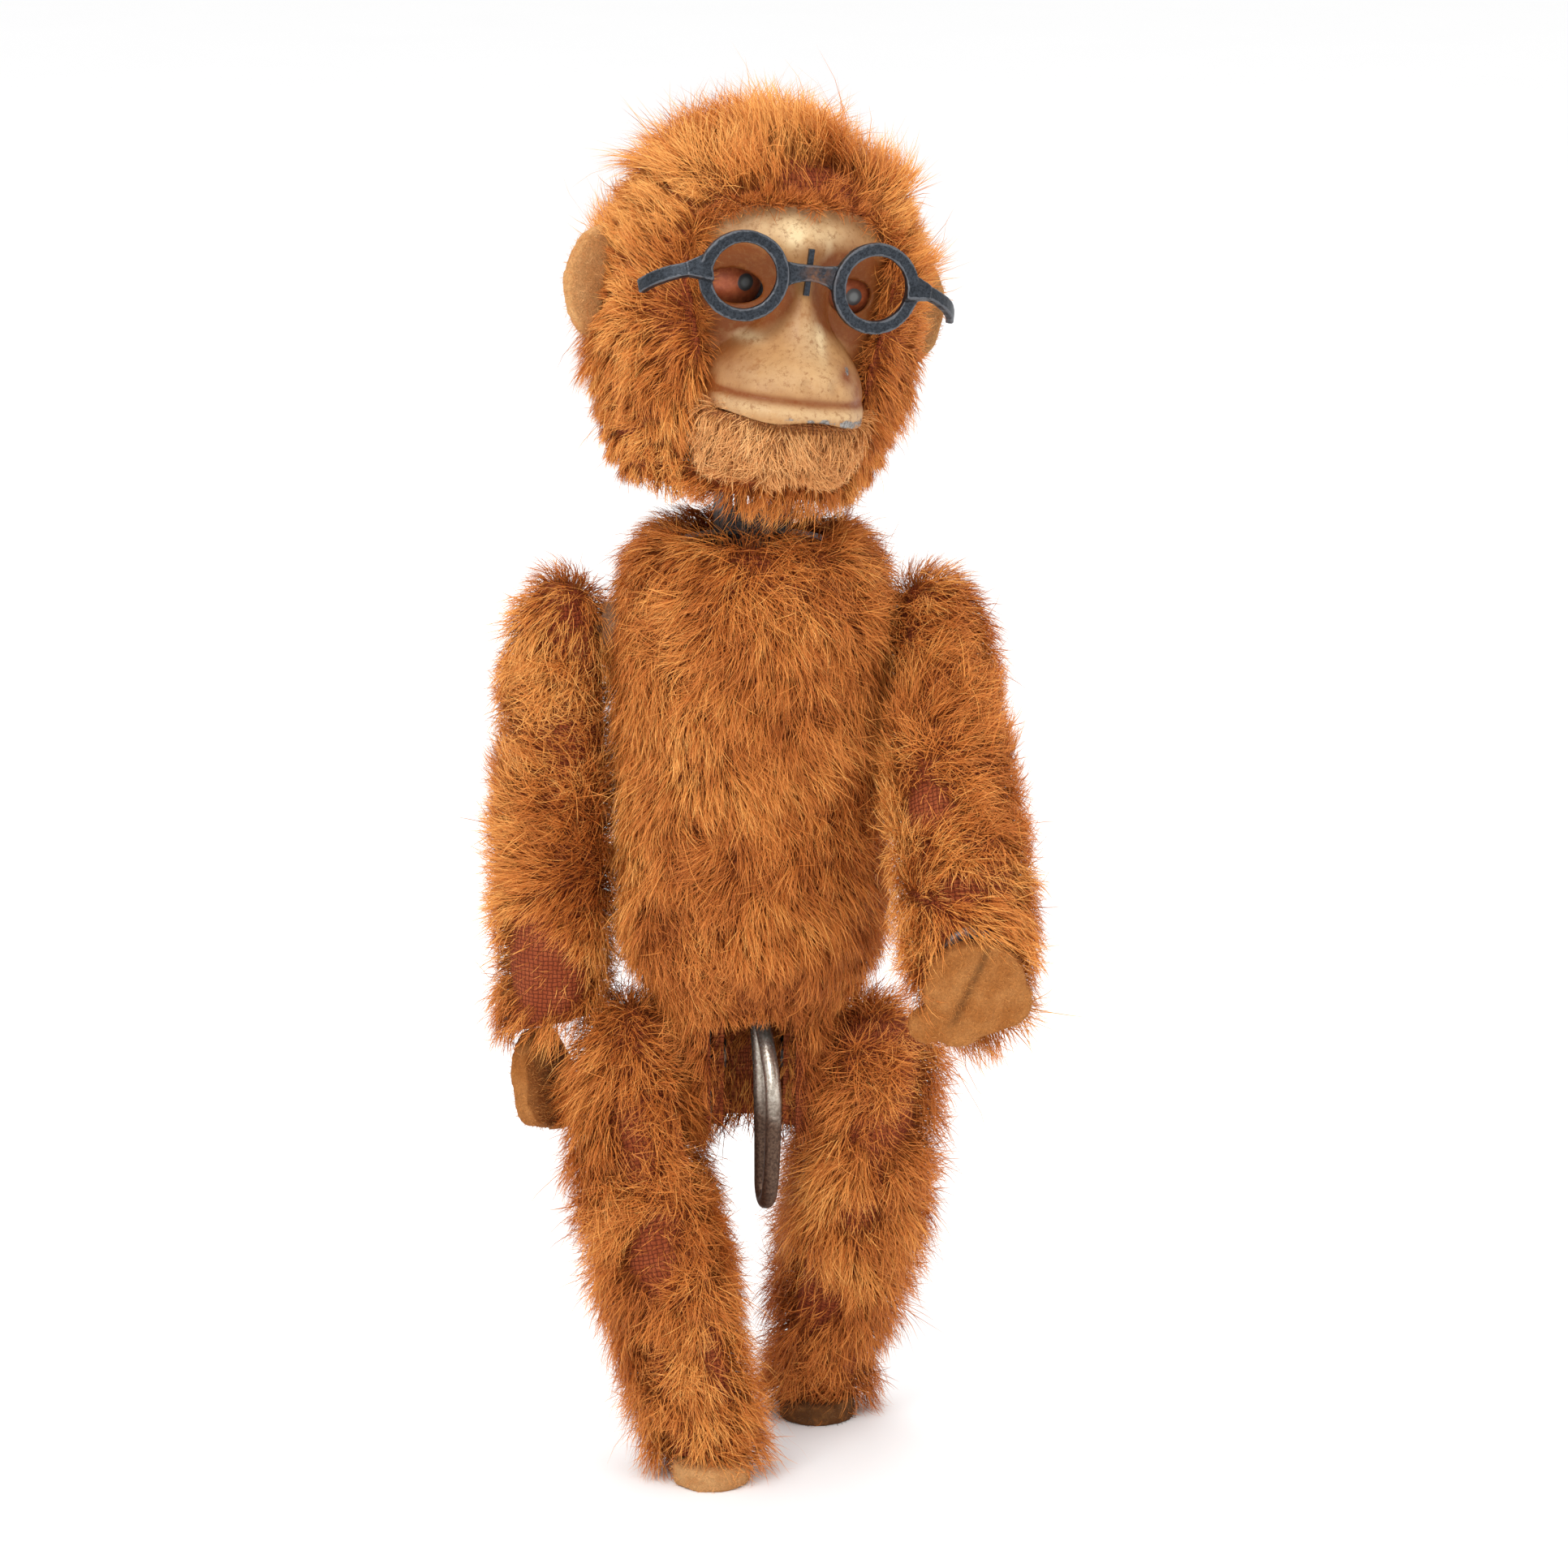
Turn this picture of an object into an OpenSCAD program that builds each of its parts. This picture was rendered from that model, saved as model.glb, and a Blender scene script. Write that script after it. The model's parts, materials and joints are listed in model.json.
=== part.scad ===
// Jointed miniature monkey with a wire lever that turns and nods its head.
// Millimetres. +Z up, the monkey faces -Y, +X is its own left side.
// It stands in a stride, so the rest pose holds the turned head and the swung limbs.

/* [Pose at rest] */
// Turn of the head and lever about the neck, towards the monkey's left
head_turn = 15; // [0:1:18]
// Sideways lean of the skull on its bracket
head_roll = 7.5; // [0:0.5:8]
// Forward swing of the left arm
left_arm_swing = 35; // [20:1:45]
// Forward swing of the right arm
right_arm_swing = -2; // [-10:1:10]
// Backward swing of the left leg
left_leg_back = 18; // [10:1:20]
// Forward swing of the right leg
right_leg_forward = 13; // [8:1:16]

/* [Torso] */
// Height of the shoulder pins
shoulder_z = 79; // [78:0.5:80]
// Height of the hip pins
hip_z = 38.5; // [38:0.5:39]
// Distance of the right shoulder joint from the centre
right_shoulder_x = 17.9; // [17.7:0.1:18.5]
// Distance of the left shoulder joint from the centre
left_shoulder_x = 16.6; // [16.4:0.1:17.5]
// Distance of each hip joint from the centre
hip_x = 11.2; // [11:0.1:11.6]
// Half the width of the lever's slot in the lower front
slot_half = 4; // [3.8:0.1:4.4]

/* [Head] */
// Height of the nod pin
nod_z = 95; // [94.5:0.5:95.5]
// Widest radius of the head over its cloth
head_r = 14.1; // [14:0.1:14.3]
// Width across the centres of the two spectacle rings
ring_spacing = 12.2; // [12:0.1:12.4]

/* [Materials] */
// Thickness of the cloth under the pile
cloth = 0.8; // [0.6:0.1:0.9]
// Thickness of the pressed tin
tin = 0.5; // [0.4:0.05:0.5]
// Thickness of the felt
felt = 1.8; // [1.6:0.1:2]

/* [Mechanism] */
// Height of the lever's pin
lever_z = 46; // [45.5:0.5:46]
// Distance from each pin to the push rod
rod_y = 4.5; // [4.4:0.1:4.6]
// Radius of the lever wire
wire_r = 0.75; // [0.7:0.05:0.8]

/* [Hidden] */

$fn = 48;
far = 200;            // longer than the toy, for cutting
glue = 0.05;          // gap between two pieces that are glued or laid together
running = 0.06;       // radial clearance of a part that turns on a pin
fixed = 0.02;         // radial clearance of a part that is riveted or soldered on
row_shift = [-1.34, 2.98, 0];   // brings the middle of the toy over the origin

// Outlines are [radius, height] from the bottom up.
torso_outline = [[5.6, 31.5], [6.2, 35], [6.6, 41], [7.3, 44.3], [8.9, 46.4], [10.3, 48.4], [11, 51],
  [11.2, 55], [11.2, 62], [11.3, 70], [11.4, 75], [11.5, 79], [11.3, 82.4], [10.6, 85.2], [9.3, 87],
  [7.4, 88]];
head_outline = concat([[9.8, 92.5], [11.8, 95.5], [13.3, 100], [head_r, 105]],
  dome(head_r, 111, 13.6, 7));
arm_outline = concat([[3.6, -44], [3.9, -36], [4.4, -27], [4.4, -13]], dome(3.7, 0, 4.6, 5));
full_arm_outline = concat([[4.4, -44], [4.6, -36], [5, -27], [4.7, -13]], dome(3.6, 0, 4.6, 5));
leg_outline = concat([[3.8, -39.5], [4.8, -30], [5.8, -20], [5.9, -10]], dome(4.6, 0, 4.7, 5));
slim_leg_outline = concat([[3.6, -40], [4.5, -30], [5.3, -20], [5.4, -10]], dome(4.6, 0, 4.7, 5));

// Slant of each limb inwards, seen from the front
arm_slant_right = -1.6;
arm_slant_left = -5.5;
leg_slant_right = 11.3;
leg_slant_left = 8.2;
ankle_z = 2.1;        // height at which a leg ends and its sole begins
pin_r = 0.8;          // radius of the nod, lever and shoulder pins
hip_pin_r = 0.9;
rod_pin_r = 0.5;
shaft_r = 1.5;
rod_r = 0.6;
leg_flat = 3.6;       // distance from a leg's axis to its flat inner side

// Face outline: [height, half width] of the tin mask, from the lip up
face_rows = [[100.9, 7.6], [103.5, 7.6], [106, 7.9], [108.5, 8.6], [111, 9.2], [114, 9.5], [116.5, 9.1],
  [118.2, 7.6], [119.2, 5]];
face_top = 119.6;     // top of the opening for the mask
chin_low = 95.2;
head_shift = -1.3;    // the skull sits a little to the right of the neck

function dome(r, z0, h, n) = [for (i = [0:n]) [r * cos(i * 90 / n), z0 + h * sin(i * 90 / n)]];
function unit(v) = v / norm(v);
function along(p, i) = unit(p[min(i + 1, len(p) - 1)] - p[max(i - 1, 0)]);
// The outline moved inwards by t, square to itself
function inset(p, t) = [for (i = [0:len(p) - 1]) let (d = along(p, i))
  [max(p[i][0] - d[1] * t, 0), p[i][1] + d[0] * t]];
function flip(p) = [for (i = [len(p) - 1:-1:0]) p[i]];

// A skin turned from an outline, between depths t0 and t1
module skin(p, t0, t1) {
  rotate_extrude() polygon(concat(inset(p, t0), flip(inset(p, t1))));
}
module solid_of(p, t) {
  q = inset(p, t);
  rotate_extrude() polygon(concat([[0, q[0][1]]], q));
}
module row() { translate(row_shift) children(); }
// The frame that turns with the neck shaft
module turned() { row() rotate([0, 0, head_turn]) children(); }
// The skull's own frame: turned, and leant on its bracket
module on_head() {
  turned() translate([0, 0, nod_z]) rotate([0, head_roll, 0]) translate([head_shift, 0, -nod_z]) children();
}
module half(side) {
  intersection() {
    children();
    translate([-far / 2, side > 0 ? 0.02 : -far - 0.02, -far]) cube([far, far, 2 * far]);
  }
}
module across(x0, x1, r, y = 0, z = 0) {
  translate([x0, y, z]) rotate([0, 90, 0]) cylinder(r = r, h = x1 - x0);
}
// A limb's frame: origin at its joint, hanging along -Z, swung and slanted as at rest
module limb(side, x, z, swing, slant) {
  row() translate([side * x, 0, z]) rotate([-swing, 0, 0]) rotate([0, side * slant, 0]) children();
}

// ---- torso ----
module lever_slot() {
  translate([-slot_half, -far, 0]) cube([2 * slot_half, far, 43.5]);
}
module torso_holes() {
  across(-far / 2, far / 2, pin_r + fixed, 0, shoulder_z);
  across(-far / 2, far / 2, hip_pin_r + fixed, 0, hip_z);
  lever_slot();
}
module torso_skin(t0, t1) {
  difference() {
    skin(torso_outline, t0, t1);
    torso_holes();
  }
}
module torso_shell(side) {
  color("lightsteelblue") row() half(side) torso_skin(cloth + glue, cloth + glue + tin);
}
module torso_cover(side) { color("chocolate") row() half(side) torso_skin(0, cloth); }

module frame_outline() {
  difference() {
    polygon([[-7.9, 84], [7.9, 84], [9.3, 79.5], [9.3, 76], [6.2, 46], [4.2, 41.5], [4.2, 36],
      [-4.2, 36], [-4.2, 41.5], [-6.2, 46], [-9.3, 76], [-9.3, 79.5]]);
    polygon([[-6.9, 83], [6.9, 83], [8.3, 80.9], [8.3, 76.1], [5.9, 52.5],
      [-5.9, 52.5], [-8.3, 76.1], [-8.3, 80.9]]);
    polygon([[-5.7, 51.5], [5.7, 51.5], [5.2, 46.2], [3.2, 41.7], [3.2, 30],
      [-3.2, 30], [-3.2, 41.7], [-5.2, 46.2]]);
  }
}
module inner_frame() {
  color("silver") row() difference() {
    union() {
      translate([0, 1.6, 0]) rotate([90, 0, 0]) linear_extrude(3.2) frame_outline();
      for (z = [83, 51.5]) translate([0, 0, z]) cylinder(r = 2.6, h = 1);
    }
    cylinder(r = shaft_r + running, h = far);
    across(-far / 2, far / 2, pin_r + fixed, 0, shoulder_z);
    across(-far / 2, far / 2, hip_pin_r + fixed, 0, hip_z);
  }
}
// Cloth laid over the frame's legs and between them, seen through the lever's slot
module pelvis_lining() {
  flap = 1.2;
  color("chocolate") row() translate([0, 0, 32]) linear_extrude(11) {
    for (side = [-1, 1]) translate([side * (slot_half - glue - flap / 2), -2.05])
      square([flap, 0.6], center = true);
    translate([0, 1.95]) square([6.2, 0.6], center = true);
  }
}
// Four tabs that hold the two tin shells together, bent over inside them
tab_places = [[9.45, 57], [9.55, 70]];   // [distance from the middle, height]
module shell_tabs() {
  color("lightsteelblue") row() for (side = [-1, 1]) for (tab = tab_places)
    translate([side * tab[0], 0, tab[1]]) cube([0.3, 2.4, 2.4], center = true);
}
module limb_pin(side, r, x0, x1, head_in, head_out, z) {
  row() translate([0, 0, z]) mirror([side > 0 ? 0 : 1, 0, 0]) {
    across(x0, x1, r);
    across(x0 - 0.6, x0, head_in);
    across(x1, x1 + 0.5, head_out);
  }
}
function shoulder_x(side) = side > 0 ? left_shoulder_x : right_shoulder_x;
module shoulder_pin(side) {
  color("gray") limb_pin(side, pin_r, 8.25, shoulder_x(side) - 1.6, 1.6, 1.15, shoulder_z);
}
module hip_pin(side) { color("gray") limb_pin(side, hip_pin_r, 3.15, hip_x - 2.2, 1.5, 1.5, hip_z); }
module spacer(side, r, bore, x0, x1, z) {
  color("saddlebrown") row() difference() {
    across(side > 0 ? x0 : -x1, side > 0 ? x1 : -x0, r, 0, z);
    across(-far / 2, far / 2, bore, 0, z);
  }
}
module shoulder_spacer(side) {
  spacer(side, 2.4, pin_r + fixed, 11.6, shoulder_x(side) - 4.0, shoulder_z);
}
module hip_washer(side) { spacer(side, 3, hip_pin_r + fixed, 6.8, hip_x - leg_flat - 0.15, hip_z); }

// A dished spring washer
module dished_washer(r0, r1, z, h, t) {
  rotate_extrude() polygon([[r0, z + h], [r0, z + h - t], [r1, z], [r1, z + t]]);
}
module collar_washer() { color("gray") row() dished_washer(shaft_r + running, 2.7, 84.05, 0.5, 0.2); }

// ---- neck: everything that turns about the shaft ----
module turn_shaft() { color("silver") turned() translate([0, 0, 49]) cylinder(r = shaft_r, h = 40.8); }
module fork(z_base, h_base, z_pin, x_in, x_out, y_half, bore_r) {
  ear_z = min(z_pin, z_base) - (z_pin < z_base ? 1.8 : 0);
  ear_top = max(z_pin, z_base) + (z_pin > z_base ? 1.8 : h_base);
  difference() {
    union() {
      translate([0, 0, z_base]) cylinder(r = 2.6, h = h_base);
      for (side = [-1, 1]) translate([side > 0 ? x_in : -x_out, -y_half, ear_z])
        cube([x_out - x_in, 2 * y_half, ear_top - ear_z]);
      translate([-x_in - 0.1, -y_half, z_base]) cube([2 * x_in + 0.2, 2 * y_half, h_base]);
    }
    translate([0, 0, 40]) cylinder(r = shaft_r + fixed, h = 49.9);
    across(-far / 2, far / 2, bore_r + fixed, 0, z_pin);
  }
}
module neck_yoke() { color("silver") turned() fork(88.2, 2, nod_z, 2.4, 3.3, 1.8, pin_r); }
module lever_clevis() {
  color("silver") turned() difference() {
    fork(48.7, 1.6, lever_z, 2.3, 3.1, 1.8, pin_r);
    translate([0, 0, 40]) cylinder(r = 2.25, h = 8.7);
  }
}
module nod_pin() { color("gray") turned() across(-3.6, 3.6, pin_r, 0, nod_z); }
module lever_pin() { color("gray") turned() across(-3.3, 3.3, pin_r, 0, lever_z); }
module shaft_collar() {
  color("silver") turned() difference() {
    translate([0, 0, 84.7]) cylinder(r = 2.8, h = 1.2);
    cylinder(r = shaft_r + fixed, h = far);
  }
}
module clevis_washer() { color("gray") turned() dished_washer(shaft_r + running, 2.7, 50.4, 1, 0.3); }

// ---- lever and push rod ----
// The wire's centreline in the plane that turns with the shaft, as [y, z]
lever_path = [[-1.2, 44.6], [-2.5, 42.4], [-4.8, 39.8], [-6.6, 37], [-7.1, 34], [-7, 31], [-6.7, 28],
  [-6, 26.1], [-4.7, 25.3], [-3.5, 26.2], [-3.1, 28], [-2.8, 32], [-2.3, 37], [-1.2, 41], [0.9, 44.6]];
function ring_at(path, i, r, n) =
  let (d = unit(path[min(i + 1, len(path) - 1)] - path[max(i - 1, 0)]), side = [-d[1], d[0]])
  [for (k = [0:n - 1]) [r * cos(k * 360 / n), path[i][0] + side[0] * r * sin(k * 360 / n),
    path[i][1] + side[1] * r * sin(k * 360 / n)]];
module bent_wire(path, r, n) {
  rings = [for (i = [0:len(path) - 1]) each ring_at(path, i, r, n)];
  last = len(path) - 1;
  walls = [for (i = [0:last - 1]) for (k = [0:n - 1]) let (a = i * n + k, b = i * n + (k + 1) % n)
    each [[a, b, b + n], [a, b + n, a + n]]];
  ends = [[for (k = [n - 1:-1:0]) k], [for (k = [0:n - 1]) last * n + k]];
  polyhedron(rings, concat(walls, ends));
}
module wire_lever() { color("dimgray") turned() mirror([1, 0, 0]) bent_wire(lever_path, wire_r, 16); }
// The flat arm that carries one end of the push rod, beside the rod's eye
module rod_arm(z) {
  difference() {
    union() {
      across(0.65, 1.45, 1.6, 0, z);
      across(0.65, 1.45, 1.3, rod_y, z);
      translate([0.65, 0, z - 1.2]) cube([0.8, rod_y, 2.4]);
    }
    across(-1, 2, rod_pin_r + fixed, rod_y, z);
    across(-1, 2, pin_r + running, 0, z);
  }
}
module lever_hub() {
  color("silver") turned() {
    difference() {
      across(-2.15, 2.15, 1.95, 0, lever_z);
      across(-3, 3, pin_r + running, 0, lever_z);
      bent_socket();
    }
    rod_arm(lever_z);
  }
}
// Room for the two ends of the wire where they are soldered into the hub
module bent_socket() {
  for (i = [0, len(lever_path) - 1]) {
    tip = lever_path[i];
    run = unit(tip - lever_path[i == 0 ? 1 : i - 1]);
    translate([0, tip[0] - 2 * run[0], tip[1] - 2 * run[1]])
      rotate([-atan2(run[0], run[1]), 0, 0]) cylinder(r = wire_r + running, h = 2.05);
  }
}
module rod_pin(z) { across(-0.75, 1.45, rod_pin_r, rod_y, z); }
module lower_rod_pin() { color("gray") turned() rod_pin(lever_z); }
module upper_rod_pin() { color("gray") turned() rod_pin(nod_z); }
module push_rod() {
  color("silver") turned() difference() {
    union() {
      translate([0, rod_y, lever_z]) cylinder(r = rod_r, h = nod_z - lever_z);
      for (z = [lever_z, nod_z]) across(-0.5, 0.5, 1.3, rod_y, z);
    }
    for (z = [lever_z, nod_z]) across(-1, 1, rod_pin_r + running, rod_y, z);
  }
}

// ---- head ----
module face_polygon(grow, z0 = face_rows[0][0]) {
  rows = concat([[z0, face_rows[0][1]]], face_rows);
  polygon(concat([for (q = rows) [q[1] + grow, q[0]]],
    [[3, face_top + grow], [-3, face_top + grow]],
    [for (q = flip(rows)) [-q[1] - grow, q[0]]]));
}
// The opening in the front of the head for the mask and the chin
module face_opening(grow) {
  rotate([90, 0, 0]) linear_extrude(far) face_polygon(grow, chin_low - 0.2);
}
module head_skin(t0, t1, grow) {
  difference() {
    skin(head_outline, t0, t1);
    face_opening(grow);
  }
}
module skull(side) {
  color("lightsteelblue") on_head() half(side) head_skin(cloth + glue, cloth + glue + tin, 0.15);
}
module head_base_ring() {
  color("lightsteelblue") on_head() translate([0, 0, 93.1]) difference() {
    cylinder(r = 8.2, h = 0.5);
    translate([0, 0, -1]) cylinder(r = 6.6, h = 3);
  }
}
crown_z = 116.5;      // seam between the crown and the cheeks
module crown_cover() {
  color("chocolate") on_head() intersection() {
    head_skin(0, cloth, 0.15);
    translate([-far / 2, -far / 2, crown_z + 0.02]) cube(far);
  }
}
module cheek_cover(side) {
  color("chocolate") on_head() intersection() {
    head_skin(0, cloth, 0.15);
    translate([side > 0 ? 0.02 : -far - 0.02, -far / 2, crown_z - 0.02 - far]) cube(far);
  }
}
module chin_cover() {
  color("sandybrown") on_head() hull() {
    translate([0, -12.2, 100.6]) scale([1.25, 1, 1]) cylinder(r = 5.9, h = 0.2, $fn = 32);
    translate([0, -11.6, 98]) scale([1.28, 1, 1]) cylinder(r = 5.6, h = 0.4, $fn = 32);
    translate([0, -11, chin_low]) scale([1.45, 1, 1]) cylinder(r = 4.2, h = 0.2, $fn = 32);
  }
}

// Depth of the mask's outer surface in front of the neck axis
function bump(x, w) = exp(-(x / w) * (x / w));
function brow_r(z) = z < 114 ? 12.6 : 12.6 - 1.4 * pow((z - 114) / 5.2, 2);
function muzzle(z) = 7.6 / (1 + exp((z - 106.6) * 0.62));
function muzzle_half(z) = 2.4 + 5.2 / (1 + exp((z - 107.2) * 0.8));
function face_depth(x, z) = sqrt(pow(brow_r(z), 2) - x * x)
  + muzzle(z) * pow(max(1 - pow(abs(x) / (muzzle_half(z) + 0.1), 4), 0), 0.6)
  + 2.1 * bump(x, 2.1) * bump(z - 110.5, 4.5)
  - 1.3 * bump(abs(x) - eye_x, 2.4) * bump(z - eye_z, 2.2)
  + 0.9 * bump(z - 116.5, 2) * bump(x, 6);
function face_half(z) = lookup(z, face_rows);
mask_cols = 20;
mask_rows = 20;
mask_t = 0.7;         // thickness of the mask along Y
module mask_sheet() {
  z0 = face_rows[0][0];
  z1 = face_rows[len(face_rows) - 1][0];
  n = mask_cols + 1;
  grid = [for (j = [0:mask_rows]) for (i = [0:mask_cols])
    let (z = z0 + (z1 - z0) * j / mask_rows, x = face_half(z) * (2 * i / mask_cols - 1)) [x, z]];
  front = [for (g = grid) [g[0], -face_depth(g[0], g[1]), g[1]]];
  back = [for (g = grid) [g[0], mask_t - face_depth(g[0], g[1]), g[1]]];
  m = len(grid);
  quads = [for (j = [0:mask_rows - 1]) for (i = [0:mask_cols - 1])
    [j * n + i, j * n + i + 1, (j + 1) * n + i + 1, (j + 1) * n + i]];
  rim = concat([for (i = [0:mask_cols]) i], [for (j = [1:mask_rows]) j * n + mask_cols],
    [for (i = [mask_cols - 1:-1:0]) mask_rows * n + i], [for (j = [mask_rows - 1:-1:1]) j * n]);
  faces = concat([for (q = quads) each [[q[2], q[1], q[0]], [q[3], q[2], q[0]]]],
    [for (q = quads) each [[q[0] + m, q[1] + m, q[2] + m], [q[0] + m, q[2] + m, q[3] + m]]],
    [for (k = [0:len(rim) - 1]) let (a = rim[k], b = rim[(k + 1) % len(rim)])
      each [[a, b, b + m], [a, b + m, a + m]]]);
  polyhedron(concat(front, back), faces);
}
eye_x = 5.5;
eye_z = 111.7;
eye_y = -6.3;         // the plane of the bracket that carries the eyes
module face_mask() {
  color("wheat") on_head() difference() {
    mask_sheet();
    for (side = [-1, 1]) translate([side * eye_x, -5, eye_z]) rotate([90, 0, 0])
      linear_extrude(20) scale([1.3, 0.85]) circle(r = 1.85);
  }
}
module eye(side) {
  color("sienna") on_head() difference() {
    translate([side * eye_x, eye_y, eye_z]) scale([1.35, 1, 1.05]) sphere(r = 2.7);
    translate([-far / 2, eye_y, 0]) cube(far);
  }
}
module eye_bracket() {
  color("lightsteelblue") on_head() translate([0, eye_y + glue, eye_z - 1.2]) {
    translate([-8.8, 0, 0]) cube([17.6, 0.5, 2.4]);
    for (side = [-1, 1]) translate([side * 8.55 - 0.25, 0, 0]) cube([0.5, 1.6, 2.4]);
  }
}

// ---- spectacles ----
ring_r = 4.1;         // outer radius of a ring
ring_hole = 2.95;
ring_t = 0.8;
specs_y = -15.9;      // front of the bridge
specs_z = 113.2;
wrap = 5;             // each ring is bent back by this angle
module ring_plate(side) {
  translate([side * ring_spacing / 2, 0, 0]) rotate([0, 0, side * wrap]) rotate([90, 0, 0]) difference() {
    cylinder(r = ring_r, h = ring_t);
    translate([0, 0, -1]) cylinder(r = ring_hole, h = 3);
  }
}
// A strip that flares where it leaves its ring, droops a little and bends back
module temple(side) {
  bend_r = 5.6;
  start = ring_spacing / 2 + 3.4;
  mirror([side > 0 ? 0 : 1, 0, 0]) translate([start, -0.3, 0.4]) rotate([-30, 8, 0]) {
    translate([0, bend_r, -0.65]) rotate([0, 0, -90]) rotate_extrude(angle = 72)
      translate([bend_r - 0.35, 0]) square([0.7, 1.3]);
    hull() {
      translate([-0.4, -0.35, -1.3]) cube([0.3, 0.7, 2.6]);
      translate([1.6, -0.15, -0.65]) cube([0.3, 0.7, 1.3]);
    }
  }
}
// The arched bar between the rings, widest where it meets them
bridge_outline = [[-2.7, -1], [-1.7, -0.3], [-0.8, 0], [0, 0.1], [0.8, 0], [1.7, -0.3], [2.7, -1],
  [2.7, 1.7], [1.2, 1.55], [-1.2, 1.55], [-2.7, 1.7]];
module bridge_bar() {
  translate([0, -0.05, 0]) rotate([90, 0, 0]) linear_extrude(0.7) polygon(bridge_outline);
}
module spectacles() {
  color("darkslategray") on_head() translate([0, specs_y + 0.4, specs_z]) {
    for (side = [-1, 1]) {
      ring_plate(side);
      temple(side);
    }
    bridge_bar();
  }
}
// The tin tongue that passes through the mask and is soldered behind the bridge
module spectacle_clip() {
  color("gray") on_head() translate([-0.25, specs_y + 0.45, specs_z - 1.3]) cube([0.5, 0.4, 4.2]);
}

// ---- felt ears ----
module ear(side) {
  color("tan") on_head() mirror([side > 0 ? 0 : 1, 0, 0]) translate([head_r + 0.4, 2.6, 109.7])
    rotate([0, 0, -14]) rotate([90, 0, 0]) linear_extrude(1.6) intersection() {
      scale([0.72, 1]) circle(r = 5.4);
      translate([0, -10]) square([10, 20]);
    }
}

// ---- head bracket ----
module head_bracket() {
  color("silver") {
    turned() difference() {
      union() {
        across(-2.25, 2.25, 1.9, 0, nod_z);
        rod_arm(nod_z);
        translate([-2, -1.2, nod_z + 1]) cube([4, 2.4, 9]);
      }
      across(-3, 3, pin_r + running, 0, nod_z);
      across(-1, 2, rod_pin_r + fixed, rod_y, nod_z);
    }
    on_head() translate([1.75 - head_r, -1.8, 103.6]) cube([2 * head_r - 3.5, 3.6, 0.9]);
  }
}

// ---- arms ----
// [shoulder distance, swing, slant, way the cut end looks, height of the cut, slope of the cut]
right_arm = [right_shoulder_x, right_arm_swing, arm_slant_right, 65, -37.8, 15];
left_arm = [left_shoulder_x, left_arm_swing, arm_slant_left, 4, -35.5, 42];
module arm_frame(side, a) { limb(side, a[0], shoulder_z, a[1], a[2]) children(); }
// Where the sleeve ends: +Y runs down the slope of the cut
module at_wrist(a) { rotate([0, 0, a[3]]) translate([0, 0, a[4]]) rotate([-a[5], 0, 0]) children(); }
module arm_skin(p, side, a, t0, t1) {
  difference() {
    arm_frame(side, a) difference() {
      skin(p, t0, t1);
      at_wrist(a) translate([-far / 2, -far / 2, -far]) cube(far);
    }
    row() mirror([side > 0 ? 0 : 1, 0, 0]) across(0, a[0], pin_r + running, 0, shoulder_z);
  }
}
module arm_core(p, side, a) {
  color("lightsteelblue") arm_skin(p, side, a, cloth + glue, cloth + glue + tin);
}
module arm_cover(p, side, a) { color("chocolate") arm_skin(p, side, a, 0, cloth); }
// A mitten with its thumb low on the inner side
module mitten(side) {
  linear_extrude(felt) {
    circle(r = 4.7);
    translate([side * 2.6, 1.4]) circle(r = 2.6);
    translate([-side * 1.6, 2.4]) circle(r = 3);
    translate([-side * 4.6, 3.4]) circle(r = 1.6);
  }
}
module left_hand() {
  color("tan") arm_frame(1, left_arm) {
    at_wrist(left_arm) translate([0, 0, -felt - 0.1]) mitten(1);
    rotate([0, 0, left_arm[3]]) translate([0, 0, left_arm[4] - 0.5]) cylinder(r = 1.3, h = 4);
  }
}
// The right hand hangs from the outer edge of its sleeve and curls in under it
module right_hand() {
  color("tan") arm_frame(-1, right_arm) rotate([0, 0, right_arm[3]]) translate([0, 0, right_arm[4]]) {
    translate([0, 3, -1.3]) rotate([-105, 0, 0]) translate([0, 4.9, -felt]) mitten(-1);
    translate([0, 1.1, -2.8]) cylinder(r = 0.9, h = 7);
  }
}

// ---- legs ----
module below_ankle() { row() translate([-far / 2, -far / 2, ankle_z - far]) cube(far); }
module leg_skin(p, side, t0, t1, swing, slant) {
  flat_x = leg_flat - t0;
  flat_in = leg_flat - t1;
  difference() {
    limb(side, hip_x, hip_z, swing, 0) {
      difference() {
        rotate([0, side * slant, 0]) solid_of(p, t0);
        inner_side(side, flat_x, slant);
        difference() {
          rotate([0, side * slant, 0]) solid_of(p, t1);
          inner_side(side, flat_in, slant);
        }
        across(side > 0 ? -far : 0, side > 0 ? 0 : far, hip_pin_r + running);
      }
    }
    below_ankle();
  }
}
// Everything beyond a leg's flat inner side, which follows the slant below the hip
module inner_side(side, x, slant) {
  mirror([side > 0 ? 0 : 1, 0, 0]) {
    translate([-x - far, -far / 2, -3]) cube(far);
    translate([-x, 0, -3]) rotate([0, slant, 0]) translate([-far, -far / 2, -far]) cube(far);
  }
}
module leg_core(p, side, swing, slant) {
  color("lightsteelblue") leg_skin(p, side, cloth + glue, cloth + glue + tin, swing, slant);
}
module leg_cover(p, side, swing, slant) { color("chocolate") leg_skin(p, side, 0, cloth, swing, slant); }
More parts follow.
